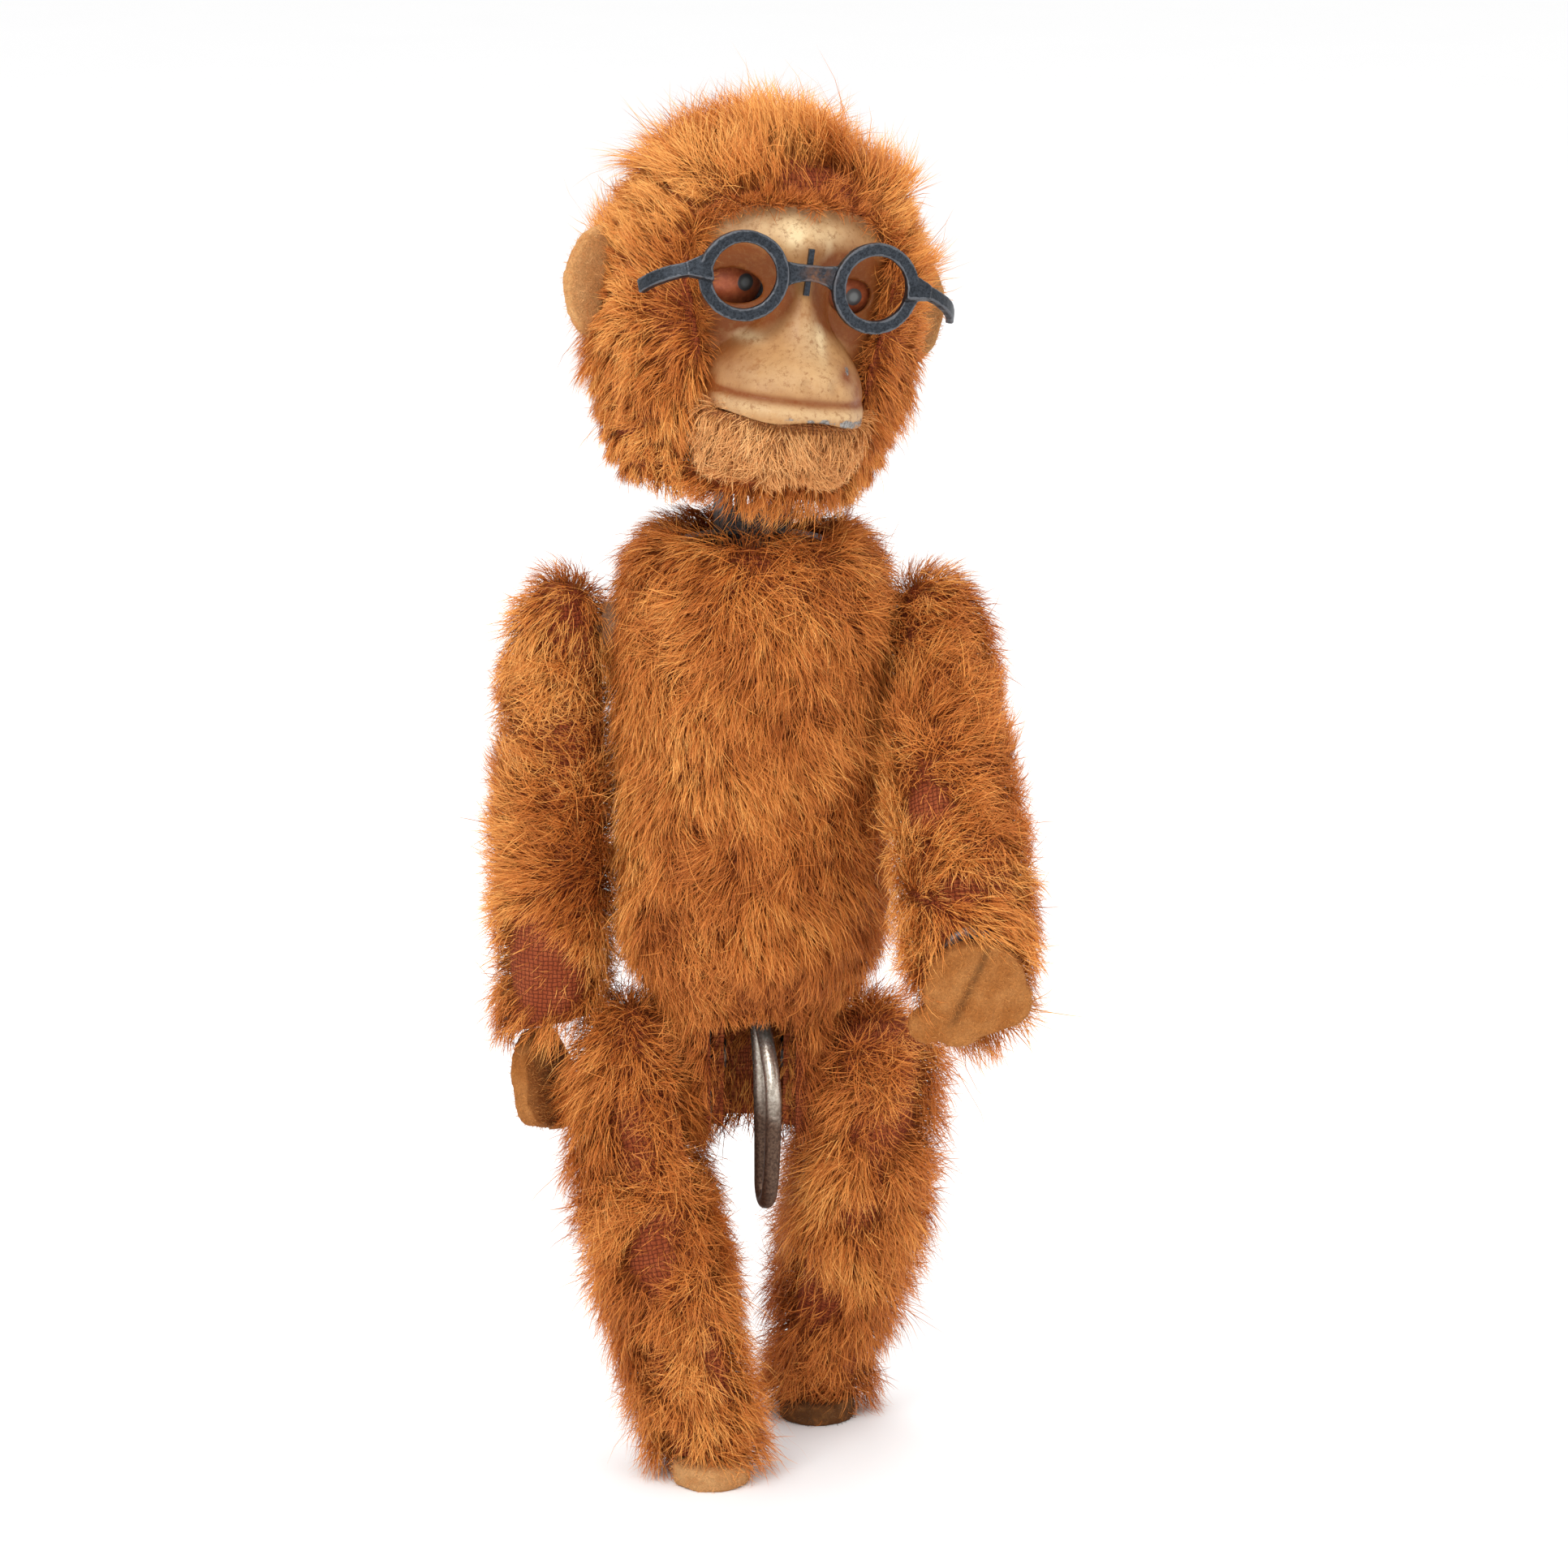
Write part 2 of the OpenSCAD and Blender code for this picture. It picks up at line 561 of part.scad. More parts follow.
// A felt sole, flat on the floor, and its stem inside the leg
module foot(side, swing, slant) {
  drop = hip_z - ankle_z;
  ankle = [side * (hip_x - drop * tan(slant)), -drop * tan(swing), 0];
  color("tan") row() translate(ankle) {
    linear_extrude(ankle_z - 0.1) {
      translate([0, 2.2]) circle(r = 3.3);
      translate([0, -3]) circle(r = 3.6);
      translate([-3.3, -3]) square([6.6, 5.2]);
    }
    cylinder(r = 1.2, h = 4.2);
  }
}

inner_frame();
torso_shell(-1);  // torso_shell_front
torso_shell(1);  // torso_shell_back
torso_cover(-1);  // torso_cover_front
torso_cover(1);  // torso_cover_back
pelvis_lining();
shell_tabs();
shoulder_pin(-1);  // right_shoulder_pin
shoulder_pin(1);  // left_shoulder_pin
hip_pin(-1);  // right_hip_pin
hip_pin(1);  // left_hip_pin
shoulder_spacer(-1);  // right_shoulder_spacer
shoulder_spacer(1);  // left_shoulder_spacer
hip_washer(-1);  // right_hip_washer
hip_washer(1);  // left_hip_washer
collar_washer();
turn_shaft();
neck_yoke();
nod_pin();
lever_clevis();
lever_pin();
shaft_collar();
clevis_washer();
head_bracket();
skull(-1);  // skull_front
skull(1);  // skull_back
head_base_ring();
crown_cover();
cheek_cover(-1);  // right_cheek_cover
cheek_cover(1);  // left_cheek_cover
chin_cover();
face_mask();
eye(-1);  // right_eye
eye(1);  // left_eye
eye_bracket();
spectacles();
spectacle_clip();
ear(-1);  // right_ear
ear(1);  // left_ear
upper_rod_pin();
lever_hub();
wire_lever();
lower_rod_pin();
push_rod();
arm_core(arm_outline, -1, right_arm);  // right_arm_core
arm_cover(arm_outline, -1, right_arm);  // right_arm_cover
right_hand();
arm_core(full_arm_outline, 1, left_arm);  // left_arm_core
arm_cover(full_arm_outline, 1, left_arm);  // left_arm_cover
left_hand();
leg_core(leg_outline, -1, right_leg_forward, leg_slant_right);  // right_leg_core
leg_cover(leg_outline, -1, right_leg_forward, leg_slant_right);  // right_leg_cover
foot(-1, right_leg_forward, leg_slant_right);  // right_foot
leg_core(slim_leg_outline, 1, -left_leg_back, leg_slant_left);  // left_leg_core
leg_cover(slim_leg_outline, 1, -left_leg_back, leg_slant_left);  // left_leg_cover
foot(1, -left_leg_back, leg_slant_left);  // left_foot
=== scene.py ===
"""Looks of the jointed miniature mohair monkey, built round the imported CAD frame.

Shapes are worked out in millimetres in numpy and turned into metres when a mesh is made.
"""

import json
import math

import bpy
import numpy as np
from mathutils import Matrix, Vector


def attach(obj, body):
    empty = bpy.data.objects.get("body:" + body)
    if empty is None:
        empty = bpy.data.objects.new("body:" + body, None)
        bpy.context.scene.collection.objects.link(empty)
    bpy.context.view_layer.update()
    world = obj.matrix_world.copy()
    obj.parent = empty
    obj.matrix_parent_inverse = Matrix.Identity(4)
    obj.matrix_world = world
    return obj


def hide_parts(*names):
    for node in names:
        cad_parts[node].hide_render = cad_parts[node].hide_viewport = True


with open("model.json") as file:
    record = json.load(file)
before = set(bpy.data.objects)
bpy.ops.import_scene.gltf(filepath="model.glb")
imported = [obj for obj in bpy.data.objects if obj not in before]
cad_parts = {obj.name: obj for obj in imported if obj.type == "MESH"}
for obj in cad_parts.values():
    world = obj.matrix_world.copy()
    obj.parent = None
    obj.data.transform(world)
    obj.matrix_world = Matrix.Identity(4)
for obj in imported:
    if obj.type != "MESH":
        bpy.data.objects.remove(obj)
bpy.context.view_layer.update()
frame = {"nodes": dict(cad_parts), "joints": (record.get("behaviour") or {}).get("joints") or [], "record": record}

MM = 0.001
FLOOR_GAP = 0.1  # mm that the pile keeps above the floor
FELT_FLOOR_GAP = 0.025  # mm that the fibres of the felt keep above it
ROOT_DEPTH = 0.12  # mm that a hair starts below the face of its cloth
STRAY_SHARE = 0.004  # of the hairs stick out of the pile
STRAY_LENGTH = 1.7  # times as long as the others
HEAD_ROLL = 7.5  # degrees that the head leans to its left
HEAD_SHIFT = -1.3  # mm that the leaning head sits off the neck
joints = {j["name"]: j for j in frame["joints"]}


# ---- frames of the parts
def turn(axis, degrees):
    return Matrix.Rotation(math.radians(degrees), 4, axis)


def pivot(joint):
    return Vector(joints[joint]["pos_m"]) / MM


nod = pivot("head_nod")
nod_axis = joints["head_nod"]["axis"]
TORSO = Matrix.Translation((nod.x, nod.y, 0))
TURNED = TORSO @ turn("Z", math.degrees(math.atan2(-nod_axis[1], -nod_axis[0])))
HEAD = TURNED @ Matrix.Translation((0, 0, nod.z)) @ turn("Y", HEAD_ROLL)
HEAD = HEAD @ Matrix.Translation((HEAD_SHIFT, 0, -nod.z))


def limb(joint, swing, slant):
    """The frame of a limb that hangs along -Z, swung forward and slanted outward as it rests."""
    return Matrix.Translation(pivot(joint)) @ turn("X", -swing) @ turn("Y", slant)


RIGHT_ARM = limb("right_shoulder", -2, 1.6)
LEFT_ARM = limb("left_shoulder", 35, -5.5)
RIGHT_LEG = limb("right_hip", 13, -11.3)
LEFT_LEG = limb("left_hip", -18, 8.2)


def moved(matrix, points):
    m = np.array(matrix)
    return points @ m[:3, :3].T + m[:3, 3]


def spun(matrix, vectors):
    return vectors @ np.array(matrix)[:3, :3].T


# ---- noise
def lattice(cells, seed):
    """A number from 0 to 1 for each whole-number cell."""
    c = cells.astype(np.int64)
    h = (c[..., 0] * 73856093) ^ (c[..., 1] * 19349663) ^ (c[..., 2] * 83492791) ^ (seed * 40503)
    h &= 0xFFFFFFFF
    for shift, factor in ((16, 73244475), (15, 1103515245), (16, 1)):
        h = ((h ^ (h >> shift)) * factor) & 0xFFFFFFFF
    return h / 2.0**32


def noise(points, size, seed):
    """Smooth noise from -1 to 1 with features of that size."""
    q = points / size
    base = np.floor(q)
    f = q - base
    f = f * f * (3 - 2 * f)
    total = np.zeros(len(points))
    for corner in range(8):
        bits = np.array([corner & 1, (corner >> 1) & 1, corner >> 2])
        weight = np.prod(np.where(bits, f, 1 - f), axis=1)
        total += weight * lattice(base + bits, seed)
    return total * 2 - 1


def noise_vectors(points, size, seed):
    """Three such noises as a vector for each point."""
    return np.stack([noise(points, size, seed + k) for k in range(3)], axis=1)


def nearest_tuft(points, size, seed):
    """The middle of the lock of hair that each point belongs to, and the lock's own number from 0 to 1."""
    home = np.floor(points / size)
    best = np.full(len(points), 1e9)
    middle = np.zeros_like(points)
    number = np.zeros(len(points))
    for k in range(27):
        cell = home + np.array([k % 3, (k // 3) % 3, k // 9]) - 1
        jitter = np.stack([lattice(cell, seed + i) for i in range(3)], axis=1)
        spot = (cell + jitter) * size
        gap = np.sum((spot - points) ** 2, axis=1)
        near = gap < best
        best = np.where(near, gap, best)
        middle[near] = spot[near]
        number[near] = lattice(cell[near], seed + 7)
    return middle, number


def unit(v):
    return v / np.maximum(np.linalg.norm(v, axis=-1, keepdims=True), 1e-9)


def step(low, high, x):
    t = np.clip((x - low) / (high - low), 0, 1)
    return t * t * (3 - 2 * t)


def bump(x, width):
    return np.exp(-((x / width) ** 2))


# ---- materials
class Paint:
    """A procedural material, built node by node."""

    def __init__(self, name, roughness=0.6, **sockets):
        self.mat = bpy.data.materials.new(name)
        self.mat.use_nodes = True
        self.tree = self.mat.node_tree
        self.bsdf = next(n for n in self.tree.nodes if n.type == "BSDF_PRINCIPLED")
        self.bsdf.inputs["Roughness"].default_value = roughness
        for key, value in sockets.items():
            self.bsdf.inputs[key.replace("_", " ")].default_value = value

    def give(self, socket, value):
        if isinstance(value, bpy.types.NodeSocket):
            self.tree.links.new(value, socket)
        elif value is not None:
            if socket.type == "RGBA" and len(value) == 3:
                value = (*value, 1)
            socket.default_value = value

    def node(self, kind, settings=None, **inputs):
        n = self.tree.nodes.new("ShaderNode" + kind)
        for key, value in (settings or {}).items():
            setattr(n, key, value)
        for key, value in inputs.items():
            self.give(n.inputs[key], value)
        return n

    def out(self, socket, value):
        self.give(self.bsdf.inputs[socket], value)
        return self

    def place(self):
        """The place on the piece, in millimetres."""
        coords = self.node("TexCoord").outputs["Object"]
        n = self.node("VectorMath", {"operation": "SCALE"}, Vector=coords)
        n.inputs["Scale"].default_value = 1 / MM
        return n.outputs["Vector"]

    def stored(self, name):
        return self.node("Attribute", {"attribute_name": name}).outputs["Fac"]

    def stored_vector(self, name):
        return self.node("Attribute", {"attribute_name": name}).outputs["Vector"]

    def grain(self, per_mm, detail=4, rough=0.6, vector=None, distort=0.0):
        n = self.node("TexNoise", Vector=vector or self.place())
        n.inputs["Scale"].default_value = per_mm
        n.inputs["Detail"].default_value = detail
        n.inputs["Roughness"].default_value = rough
        n.inputs["Distortion"].default_value = distort
        return n.outputs["Fac"]

    def calc(self, operation, a, b=0.0, clamp=False):
        n = self.node("Math", {"operation": operation, "use_clamp": clamp})
        self.give(n.inputs[0], a)
        self.give(n.inputs[1], b)
        return n.outputs[0]

    def spread(self, value, low, high, to_low=0.0, to_high=1.0):
        n = self.node("MapRange", {"interpolation_type": "SMOOTHSTEP"}, Value=value)
        for key, x in (("From Min", low), ("From Max", high), ("To Min", to_low), ("To Max", to_high)):
            n.inputs[key].default_value = x
        return n.outputs["Result"]

    def mix(self, share, a, b, blend="MIX"):
        n = self.node("Mix", {"data_type": "RGBA", "blend_type": blend})
        self.give(n.inputs[0], share)
        self.give(n.inputs[6], a)
        self.give(n.inputs[7], b)
        return n.outputs[2]

    def relief(self, height, distance_mm, strength=1.0):
        n = self.node("Bump", Height=height)
        n.inputs["Strength"].default_value = strength
        n.inputs["Distance"].default_value = distance_mm * MM
        self.give(self.bsdf.inputs["Normal"], n.outputs["Normal"])
        return self


def woven(name, warm, dark, light, pitch):
    """Plain woven cloth. The mesh stores where its threads run, in millimetres."""
    p = Paint(name, roughness=0.85, Specular_IOR_Level=0.12)
    wander = p.node("VectorMath", {"operation": "SCALE"}, Vector=p.node(
        "TexNoise", Vector=p.place(), Scale=0.6).outputs["Color"])
    wander.inputs["Scale"].default_value = 0.5
    threads = p.node("VectorMath", {"operation": "ADD"})
    p.give(threads.inputs[0], p.stored_vector("weave"))
    p.give(threads.inputs[1], wander.outputs["Vector"])
    along = p.node("SeparateXYZ", Vector=threads.outputs["Vector"])
    turn_per_mm = math.pi / pitch
    across, up = (p.calc("SINE", p.calc("MULTIPLY", along.outputs[i], turn_per_mm)) for i in (0, 1))
    over = p.spread(p.calc("MULTIPLY", across, up), -0.25, 0.25)
    warp, weft = p.calc("ABSOLUTE", across), p.calc("ABSOLUTE", up)
    blend = p.node("Mix", {"data_type": "FLOAT"})
    for i, value in ((0, over), (2, warp), (3, weft)):
        p.give(blend.inputs[i], value)
    height = blend.outputs[0]
    stain = p.spread(p.grain(0.25, 5), 0.35, 0.7)
    fibre = p.grain(6, 3)
    ground = p.mix(stain, warm, light)
    thread = p.mix(p.spread(height, 0.1, 0.75), dark, ground)
    p.out("Base Color", p.mix(p.spread(fibre, 0.3, 0.75, 0, 0.35), thread, dark))
    p.relief(p.calc("ADD", height, p.calc("MULTIPLY", fibre, 0.5)), 0.12)
    return p.mat


def felted(name, body, soiled_and_shaded, worn):
    """Pressed felt, darkened where the mesh says so: soil, and painted shade."""
    p = Paint(name, roughness=0.95, Specular_IOR_Level=0.12)
    cloudy = p.spread(p.grain(0.35, 6), 0.3, 0.72)
    fluff = p.grain(5, 6, 0.75, distort=0.8)
    ground = p.mix(cloudy, body, worn)
    # The stored map darkens the felt for soil and for painted shade, such as the shaded inner half of a mitten.
    dirt_and_shade = p.calc("MULTIPLY", p.stored("soil_and_shade"), p.spread(p.grain(1.1, 5), 0.2, 0.6, 0.55, 1), clamp=True)
    base = p.mix(dirt_and_shade, ground, soiled_and_shaded)
    p.out("Base Color", p.mix(p.spread(fluff, 0.38, 0.62, 0, 0.35), base, soiled_and_shaded))
    p.relief(fluff, 0.14)
    return p.mat


def pressed_board():
    """Brown fibre board with streaks."""
    p = Paint("fibre_board", roughness=0.8)
    streak = p.grain(1.5, 6, 0.7, distort=1.5)
    p.out("Base Color", p.mix(p.spread(streak, 0.3, 0.7), (0.16, 0.075, 0.035), (0.3, 0.16, 0.08)))
    p.relief(p.grain(4, 5), 0.05)
    return p.mat


def bare_metal(name, dark, bright, rust, rust_from, roughness):
    """Unpainted sheet metal with spots of rust."""
    p = Paint(name, Metallic=0.9)
    fine = p.grain(3, 6, 0.65)
    spots = p.spread(p.grain(0.9, 6, 0.7), rust_from, rust_from + 0.14)
    base = p.mix(p.spread(fine, 0.3, 0.7), dark, bright)
    p.out("Base Color", p.mix(spots, base, rust))
    p.out("Roughness", p.spread(p.calc("ADD", fine, spots), 0.3, 1.4, roughness, roughness + 0.35))
    p.relief(fine, 0.02)
    return p.mat


def lever_metal():
    """Bright steel at the top, painted darker and brown below it: painted shade down the lower loop."""
    p = Paint("lever_wire", Metallic=0.85)
    height = p.node("SeparateXYZ", Vector=p.place()).outputs[2]
    cloudy = p.grain(0.8, 6, 0.7)
    # Painted shade: the wire turns dark brown below about 38 mm, where it bends back, away from the light, between
    # the legs.
    low = p.spread(p.calc("ADD", height, p.calc("MULTIPLY", cloudy, 6)), 35.5, 41.5, 1, 0)
    fine = p.grain(4, 5)
    bright = p.mix(p.spread(fine, 0.35, 0.7), (0.42, 0.36, 0.29), (0.68, 0.62, 0.54))
    brown = p.mix(p.spread(fine, 0.3, 0.7), (0.05, 0.028, 0.02), (0.15, 0.09, 0.06))
    p.out("Base Color", p.mix(low, bright, brown))
    p.out("Roughness", p.spread(p.calc("ADD", low, fine), 0.4, 1.5, 0.22, 0.55))
    p.relief(p.grain(1.5, 6, 0.7), 0.05)
    return p.mat


def mask_paint():
    """Old cream paint on tin: brown in the sockets and hollows, rubbed bare along the lip; painted shade in the
    groove above the lip band, and painted highlights on the brow, down the nose and on the ridge of the lip band.
    """
    p = Paint("mask_paint", Specular_IOR_Level=0.22)
    broad, medium, fine = p.grain(0.22, 5), p.grain(0.9, 7, 0.7), p.grain(3.5, 6, 0.7)
    cream = p.mix(p.spread(broad, 0.35, 0.65), (0.335, 0.146, 0.046), (0.46, 0.235, 0.086))
    # Paler paint over the muzzle, and painted highlights on the brow, the nose and the lip ridge.
    pale_and_highlight = p.calc("MULTIPLY", p.stored("pale_and_highlight"), p.spread(medium, 0.2, 0.6, 0.4, 1), clamp=True)
    cream = p.mix(pale_and_highlight, cream, (0.80, 0.60, 0.34))
    # Grime, and painted shade in the groove above the lip band.
    grime_and_shade = p.calc("MULTIPLY", p.stored("grime_and_shade"), p.spread(medium, 0.2, 0.7, 0.85, 1.5), clamp=True)
    aged = p.mix(grime_and_shade, cream, (0.21, 0.055, 0.010))
    freckle = p.spread(p.grain(1.7, 8, 0.8), 0.50, 0.64, 0, 0.7)
    aged = p.mix(freckle, aged, (0.25, 0.10, 0.03))
    stain = p.spread(p.grain(0.45, 6, 0.75), 0.54, 0.70, 0, 0.7)
    aged = p.mix(stain, aged, (0.30, 0.115, 0.032))
    chipped = p.calc("ADD", p.stored("bare"), p.spread(medium, 0.25, 0.75, -0.35, 0.35))
    bare = p.spread(chipped, 0.42, 0.55)
    metal = p.mix(p.spread(fine, 0.35, 0.65), (0.13, 0.115, 0.10), (0.36, 0.34, 0.32))
    p.out("Base Color", p.mix(bare, aged, metal))
    p.out("Metallic", p.calc("MULTIPLY", bare, 0.8))
    p.out("Roughness", p.spread(p.calc("ADD", medium, p.calc("MULTIPLY", fine, 0.5)), 0.45, 1.0, 0.28, 0.5))
    step_down = p.calc("ADD", medium, p.calc("MULTIPLY", bare, -0.4))
    p.relief(p.calc("ADD", p.calc("MULTIPLY", fine, 0.35), step_down), 0.05)
    return p.mat


def eye_paint():
    """The mesh stores how far each point is from the middle of the pupil, in millimetres."""
    p = Paint("eye_paint", roughness=0.5, Coat_Weight=0.12, Coat_Roughness=0.25)
    out = p.calc("ADD", p.stored("gaze"), p.calc("MULTIPLY", p.grain(2.5, 4), 0.12))
    iris = p.mix(p.spread(p.grain(2, 5), 0.35, 0.65), (0.42, 0.085, 0.026), (0.55, 0.135, 0.045))
    pupil = p.mix(p.spread(out, 0.30, 0.66), (0.20, 0.21, 0.21), (0.07, 0.068, 0.07))
    eye = p.mix(p.spread(out, 0.80, 0.90), pupil, iris)
    # Painted shade: the eye turns dark towards the rim of its hole in the mask, beyond 2.6 mm from the pupil.
    p.out("Base Color", p.mix(p.spread(out, 2.6, 4.2), eye, (0.22, 0.05, 0.018)))
    return p.mat


def gunmetal():
    """Blackened tin, grey along worn edges, with a little rust."""
    p = Paint("gunmetal", Metallic=0.75)
    medium, fine = p.grain(0.8, 6, 0.7), p.grain(4, 6, 0.7)
    rubbed = p.calc("ADD", p.stored("edge"), p.spread(medium, 0.25, 0.75, -0.5, 0.5))
    rubbed = p.spread(rubbed, 0.45, 0.95)
    base = p.mix(p.spread(fine, 0.35, 0.65), (0.012, 0.015, 0.020), (0.040, 0.047, 0.058))
    base = p.mix(p.calc("MULTIPLY", rubbed, 0.55), base, (0.16, 0.165, 0.18))
    rust = p.calc("MULTIPLY", p.stored("rust"), p.spread(medium, 0.35, 0.6), clamp=True)
    p.out("Base Color", p.mix(rust, base, (0.22, 0.10, 0.05)))
    p.out("Roughness", p.spread(p.calc("ADD", fine, rust), 0.3, 1.2, 0.34, 0.62))
    p.relief(p.calc("ADD", fine, p.calc("MULTIPLY", medium, 1.5)), 0.035)
    return p.mat


def hair(name, colour, roughness):
    """One shade of one part of a hair, left plain because a hair is far finer than any pattern on it."""
    return Paint(name, roughness=roughness, Base_Color=(*colour, 1), Specular_IOR_Level=0.18).mat


def hair_set(name, shades, roots, tip_glow):
    """Materials for several shades of hair, each with a root, a middle and a tip; the lighter tips are painted
    glow of light through the hair.
    """
    made = []
    for i, colour in enumerate(shades):
        c = np.array(colour)
        made.append(hair(f"{name}_{i}_root", c * np.array(roots), 0.75))
        made.append(hair(f"{name}_{i}_middle", c, 0.55))
        made.append(hair(f"{name}_{i}_tip", np.minimum(c * np.array(tip_glow), 0.95), 0.5))
    return made


MOHAIR = [
    (0.36, 0.090, 0.016),
    (0.43, 0.115, 0.019),
    (0.49, 0.138, 0.024),
    (0.56, 0.172, 0.031),
    (0.64, 0.215, 0.042),
    (0.70, 0.270, 0.056),
    (0.78, 0.340, 0.082),
]
PALE = [(0.62, 0.26, 0.080), (0.72, 0.34, 0.115), (0.80, 0.43, 0.165)]
FELT_FUZZ = [(0.41, 0.150, 0.034), (0.50, 0.200, 0.048), (0.58, 0.250, 0.066)]
DARK_FUZZ = [(0.07, 0.03, 0.014), (0.13, 0.06, 0.025), (0.22, 0.10, 0.04)]

materials = {
    "backing": woven(
        "backing_cloth", (0.29, 0.060, 0.020), (0.12, 0.022, 0.008), (0.38, 0.095, 0.034), 0.42),
    "chin_backing": woven("chin_cloth", (0.42, 0.16, 0.055), (0.18, 0.06, 0.02), (0.52, 0.25, 0.10), 0.36),
    "felt_pale": felted("felt_pale", (0.66, 0.30, 0.10), (0.10, 0.045, 0.02), (0.80, 0.44, 0.18)),
    "felt": felted("felt", (0.45, 0.155, 0.034), (0.055, 0.022, 0.009), (0.60, 0.255, 0.075)),
    "fibre": pressed_board(),
    "tin": bare_metal("tinplate", (0.24, 0.26, 0.30), (0.46, 0.50, 0.56), (0.16, 0.09, 0.05), 0.60, 0.35),
    "steel": bare_metal(
        "dark_steel", (0.035, 0.033, 0.032), (0.13, 0.125, 0.12), (0.09, 0.045, 0.025), 0.52, 0.4),
    "wire": lever_metal(),
    "mask_paint": mask_paint(),
    "eye": eye_paint(),
    "gunmetal": gunmetal(),
}
# The last factors make each tip lighter: painted glow of light shining through the hair tips.
mohair_hairs = hair_set("mohair", MOHAIR, (0.62, 0.55, 0.52), (1.18, 1.30, 1.5))
pale_hairs = hair_set("pale_mohair", PALE, (0.75, 0.68, 0.6), (1.15, 1.2, 1.3))
felt_hairs = hair_set("felt_fuzz", FELT_FUZZ, (0.9, 0.9, 0.9), (1.1, 1.15, 1.2))
dark_hairs = hair_set("dark_fuzz", DARK_FUZZ, (0.9, 0.9, 0.9), (1.1, 1.15, 1.2))

SLOT_MATERIALS = {"mohair": "backing", "chin_mohair": "chin_backing"}
for part in frame["record"]["subparts"]:
    wanted = part["material_slot"]
    for s in frame["nodes"][part["node"]].material_slots:
        s.material = materials[SLOT_MATERIALS.get(wanted, wanted)]


# ---- meshes
def new_object(name, mesh):
    obj = bpy.data.objects.new(name, mesh)
    bpy.context.scene.collection.objects.link(obj)
    return obj


def mesh_of(name, points, faces, mats, face_mats=None, smooth=True):
    """A mesh in metres from points in millimetres and a list of equal-length face arrays."""
    mesh = bpy.data.meshes.new(name)
    mesh.vertices.add(len(points))
    mesh.vertices.foreach_set("co", (points * MM).astype(np.float32).ravel())
    sizes = np.concatenate([np.full(len(f), f.shape[1]) for f in faces])
    mesh.loops.add(int(sizes.sum()))
    mesh.loops.foreach_set("vertex_index", np.concatenate([f.ravel() for f in faces]).astype(np.int32))
    mesh.polygons.add(len(sizes))
    starts = np.concatenate([[0], np.cumsum(sizes)[:-1]])
    mesh.polygons.foreach_set("loop_start", starts.astype(np.int32))
    for m in mats:
        mesh.materials.append(m)
    if face_mats is not None:
        mesh.polygons.foreach_set("material_index", np.concatenate(face_mats).astype(np.int32))
    mesh.polygons.foreach_set("use_smooth", np.full(len(sizes), smooth))
    mesh.update(calc_edges=True)
    return mesh


def store(mesh, name, values):
    kind = "FLOAT" if values.ndim == 1 else "FLOAT_VECTOR"
    attribute = mesh.attributes.new(name, kind, "POINT")
    attribute.data.foreach_set("value" if values.ndim == 1 else "vector", values.astype(np.float32).ravel())


def points_of(mesh):
    co = np.zeros(len(mesh.vertices) * 3, np.float32)
    mesh.vertices.foreach_get("co", co)
    return co.reshape(-1, 3).astype(float)


def normals_of(mesh):
    co = np.zeros(len(mesh.vertices) * 3, np.float32)
    mesh.vertex_normals.foreach_get("vector", co)
    return co.reshape(-1, 3).astype(float)


def triangles_of(mesh):
    mesh.calc_loop_triangles()
    t = np.zeros(len(mesh.loop_triangles) * 3, np.int32)
    mesh.loop_triangles.foreach_get("vertices", t)
    return t.reshape(-1, 3)


def softened(node, name, voxel, passes):
    """A dense, closed copy of a CAD node in millimetres, its sharp edges rounded off."""
    mesh = frame["nodes"][node].data.copy()
    mesh.transform(Matrix.Scale(1 / MM, 4))
    obj = new_object(name, mesh)
    remesh = obj.modifiers.new("remesh", "REMESH")
    remesh.mode = "VOXEL"
    remesh.voxel_size = voxel
    smooth = obj.modifiers.new("smooth", "SMOOTH")
    smooth.iterations = passes
    made = bpy.data.meshes.new_from_object(obj.evaluated_get(bpy.context.evaluated_depsgraph_get()))
    bpy.data.objects.remove(obj)
    bpy.data.meshes.remove(mesh)
    made.name = name
    made.materials.clear()
    return made


def settle(mesh, points):
    """Sets a mesh's points, given in millimetres, and leaves it in metres."""
    mesh.vertices.foreach_set("co", (points * MM).astype(np.float32).ravel())
    mesh.polygons.foreach_set("use_smooth", np.ones(len(mesh.polygons), bool))
    mesh.update()


def sharpness(mesh, points, normals, scale):
    """How far each point stands out from the mean of its neighbours: high along an outer edge."""
    e = np.zeros(len(mesh.edges) * 2, np.int32)
    mesh.edges.foreach_get("vertices", e)
    a, b = e.reshape(-1, 2).T
    value = np.zeros(len(points))
    for _ in range(3):
        total, count = np.zeros_like(points), np.zeros(len(points))
        for i, j in ((a, b), (b, a)):
            np.add.at(total, i, points[j])
            np.add.at(count, i, 1)
        value += np.sum((points - total / np.maximum(count, 1)[:, None]) * normals, axis=1)
    total, count = np.zeros(len(points)), np.zeros(len(points))
    for i, j in ((a, b), (b, a)):
        np.add.at(total, i, value[j])
        np.add.at(count, i, 1)
    return np.clip((value + total / np.maximum(count, 1)) / 2 / scale, 0, 1)


# ---- fur
def blob(local, centre, size, seed):
    """1 inside a ragged patch round a point, 0 outside."""
    q = np.linalg.norm((local - np.array(centre)) / np.array(size), axis=1)
    q = q + 0.28 * noise(local, 1.6, seed) + 0.16 * noise(local, 0.7, seed + 3)
    return 1 - step(0.8, 1.1, q)


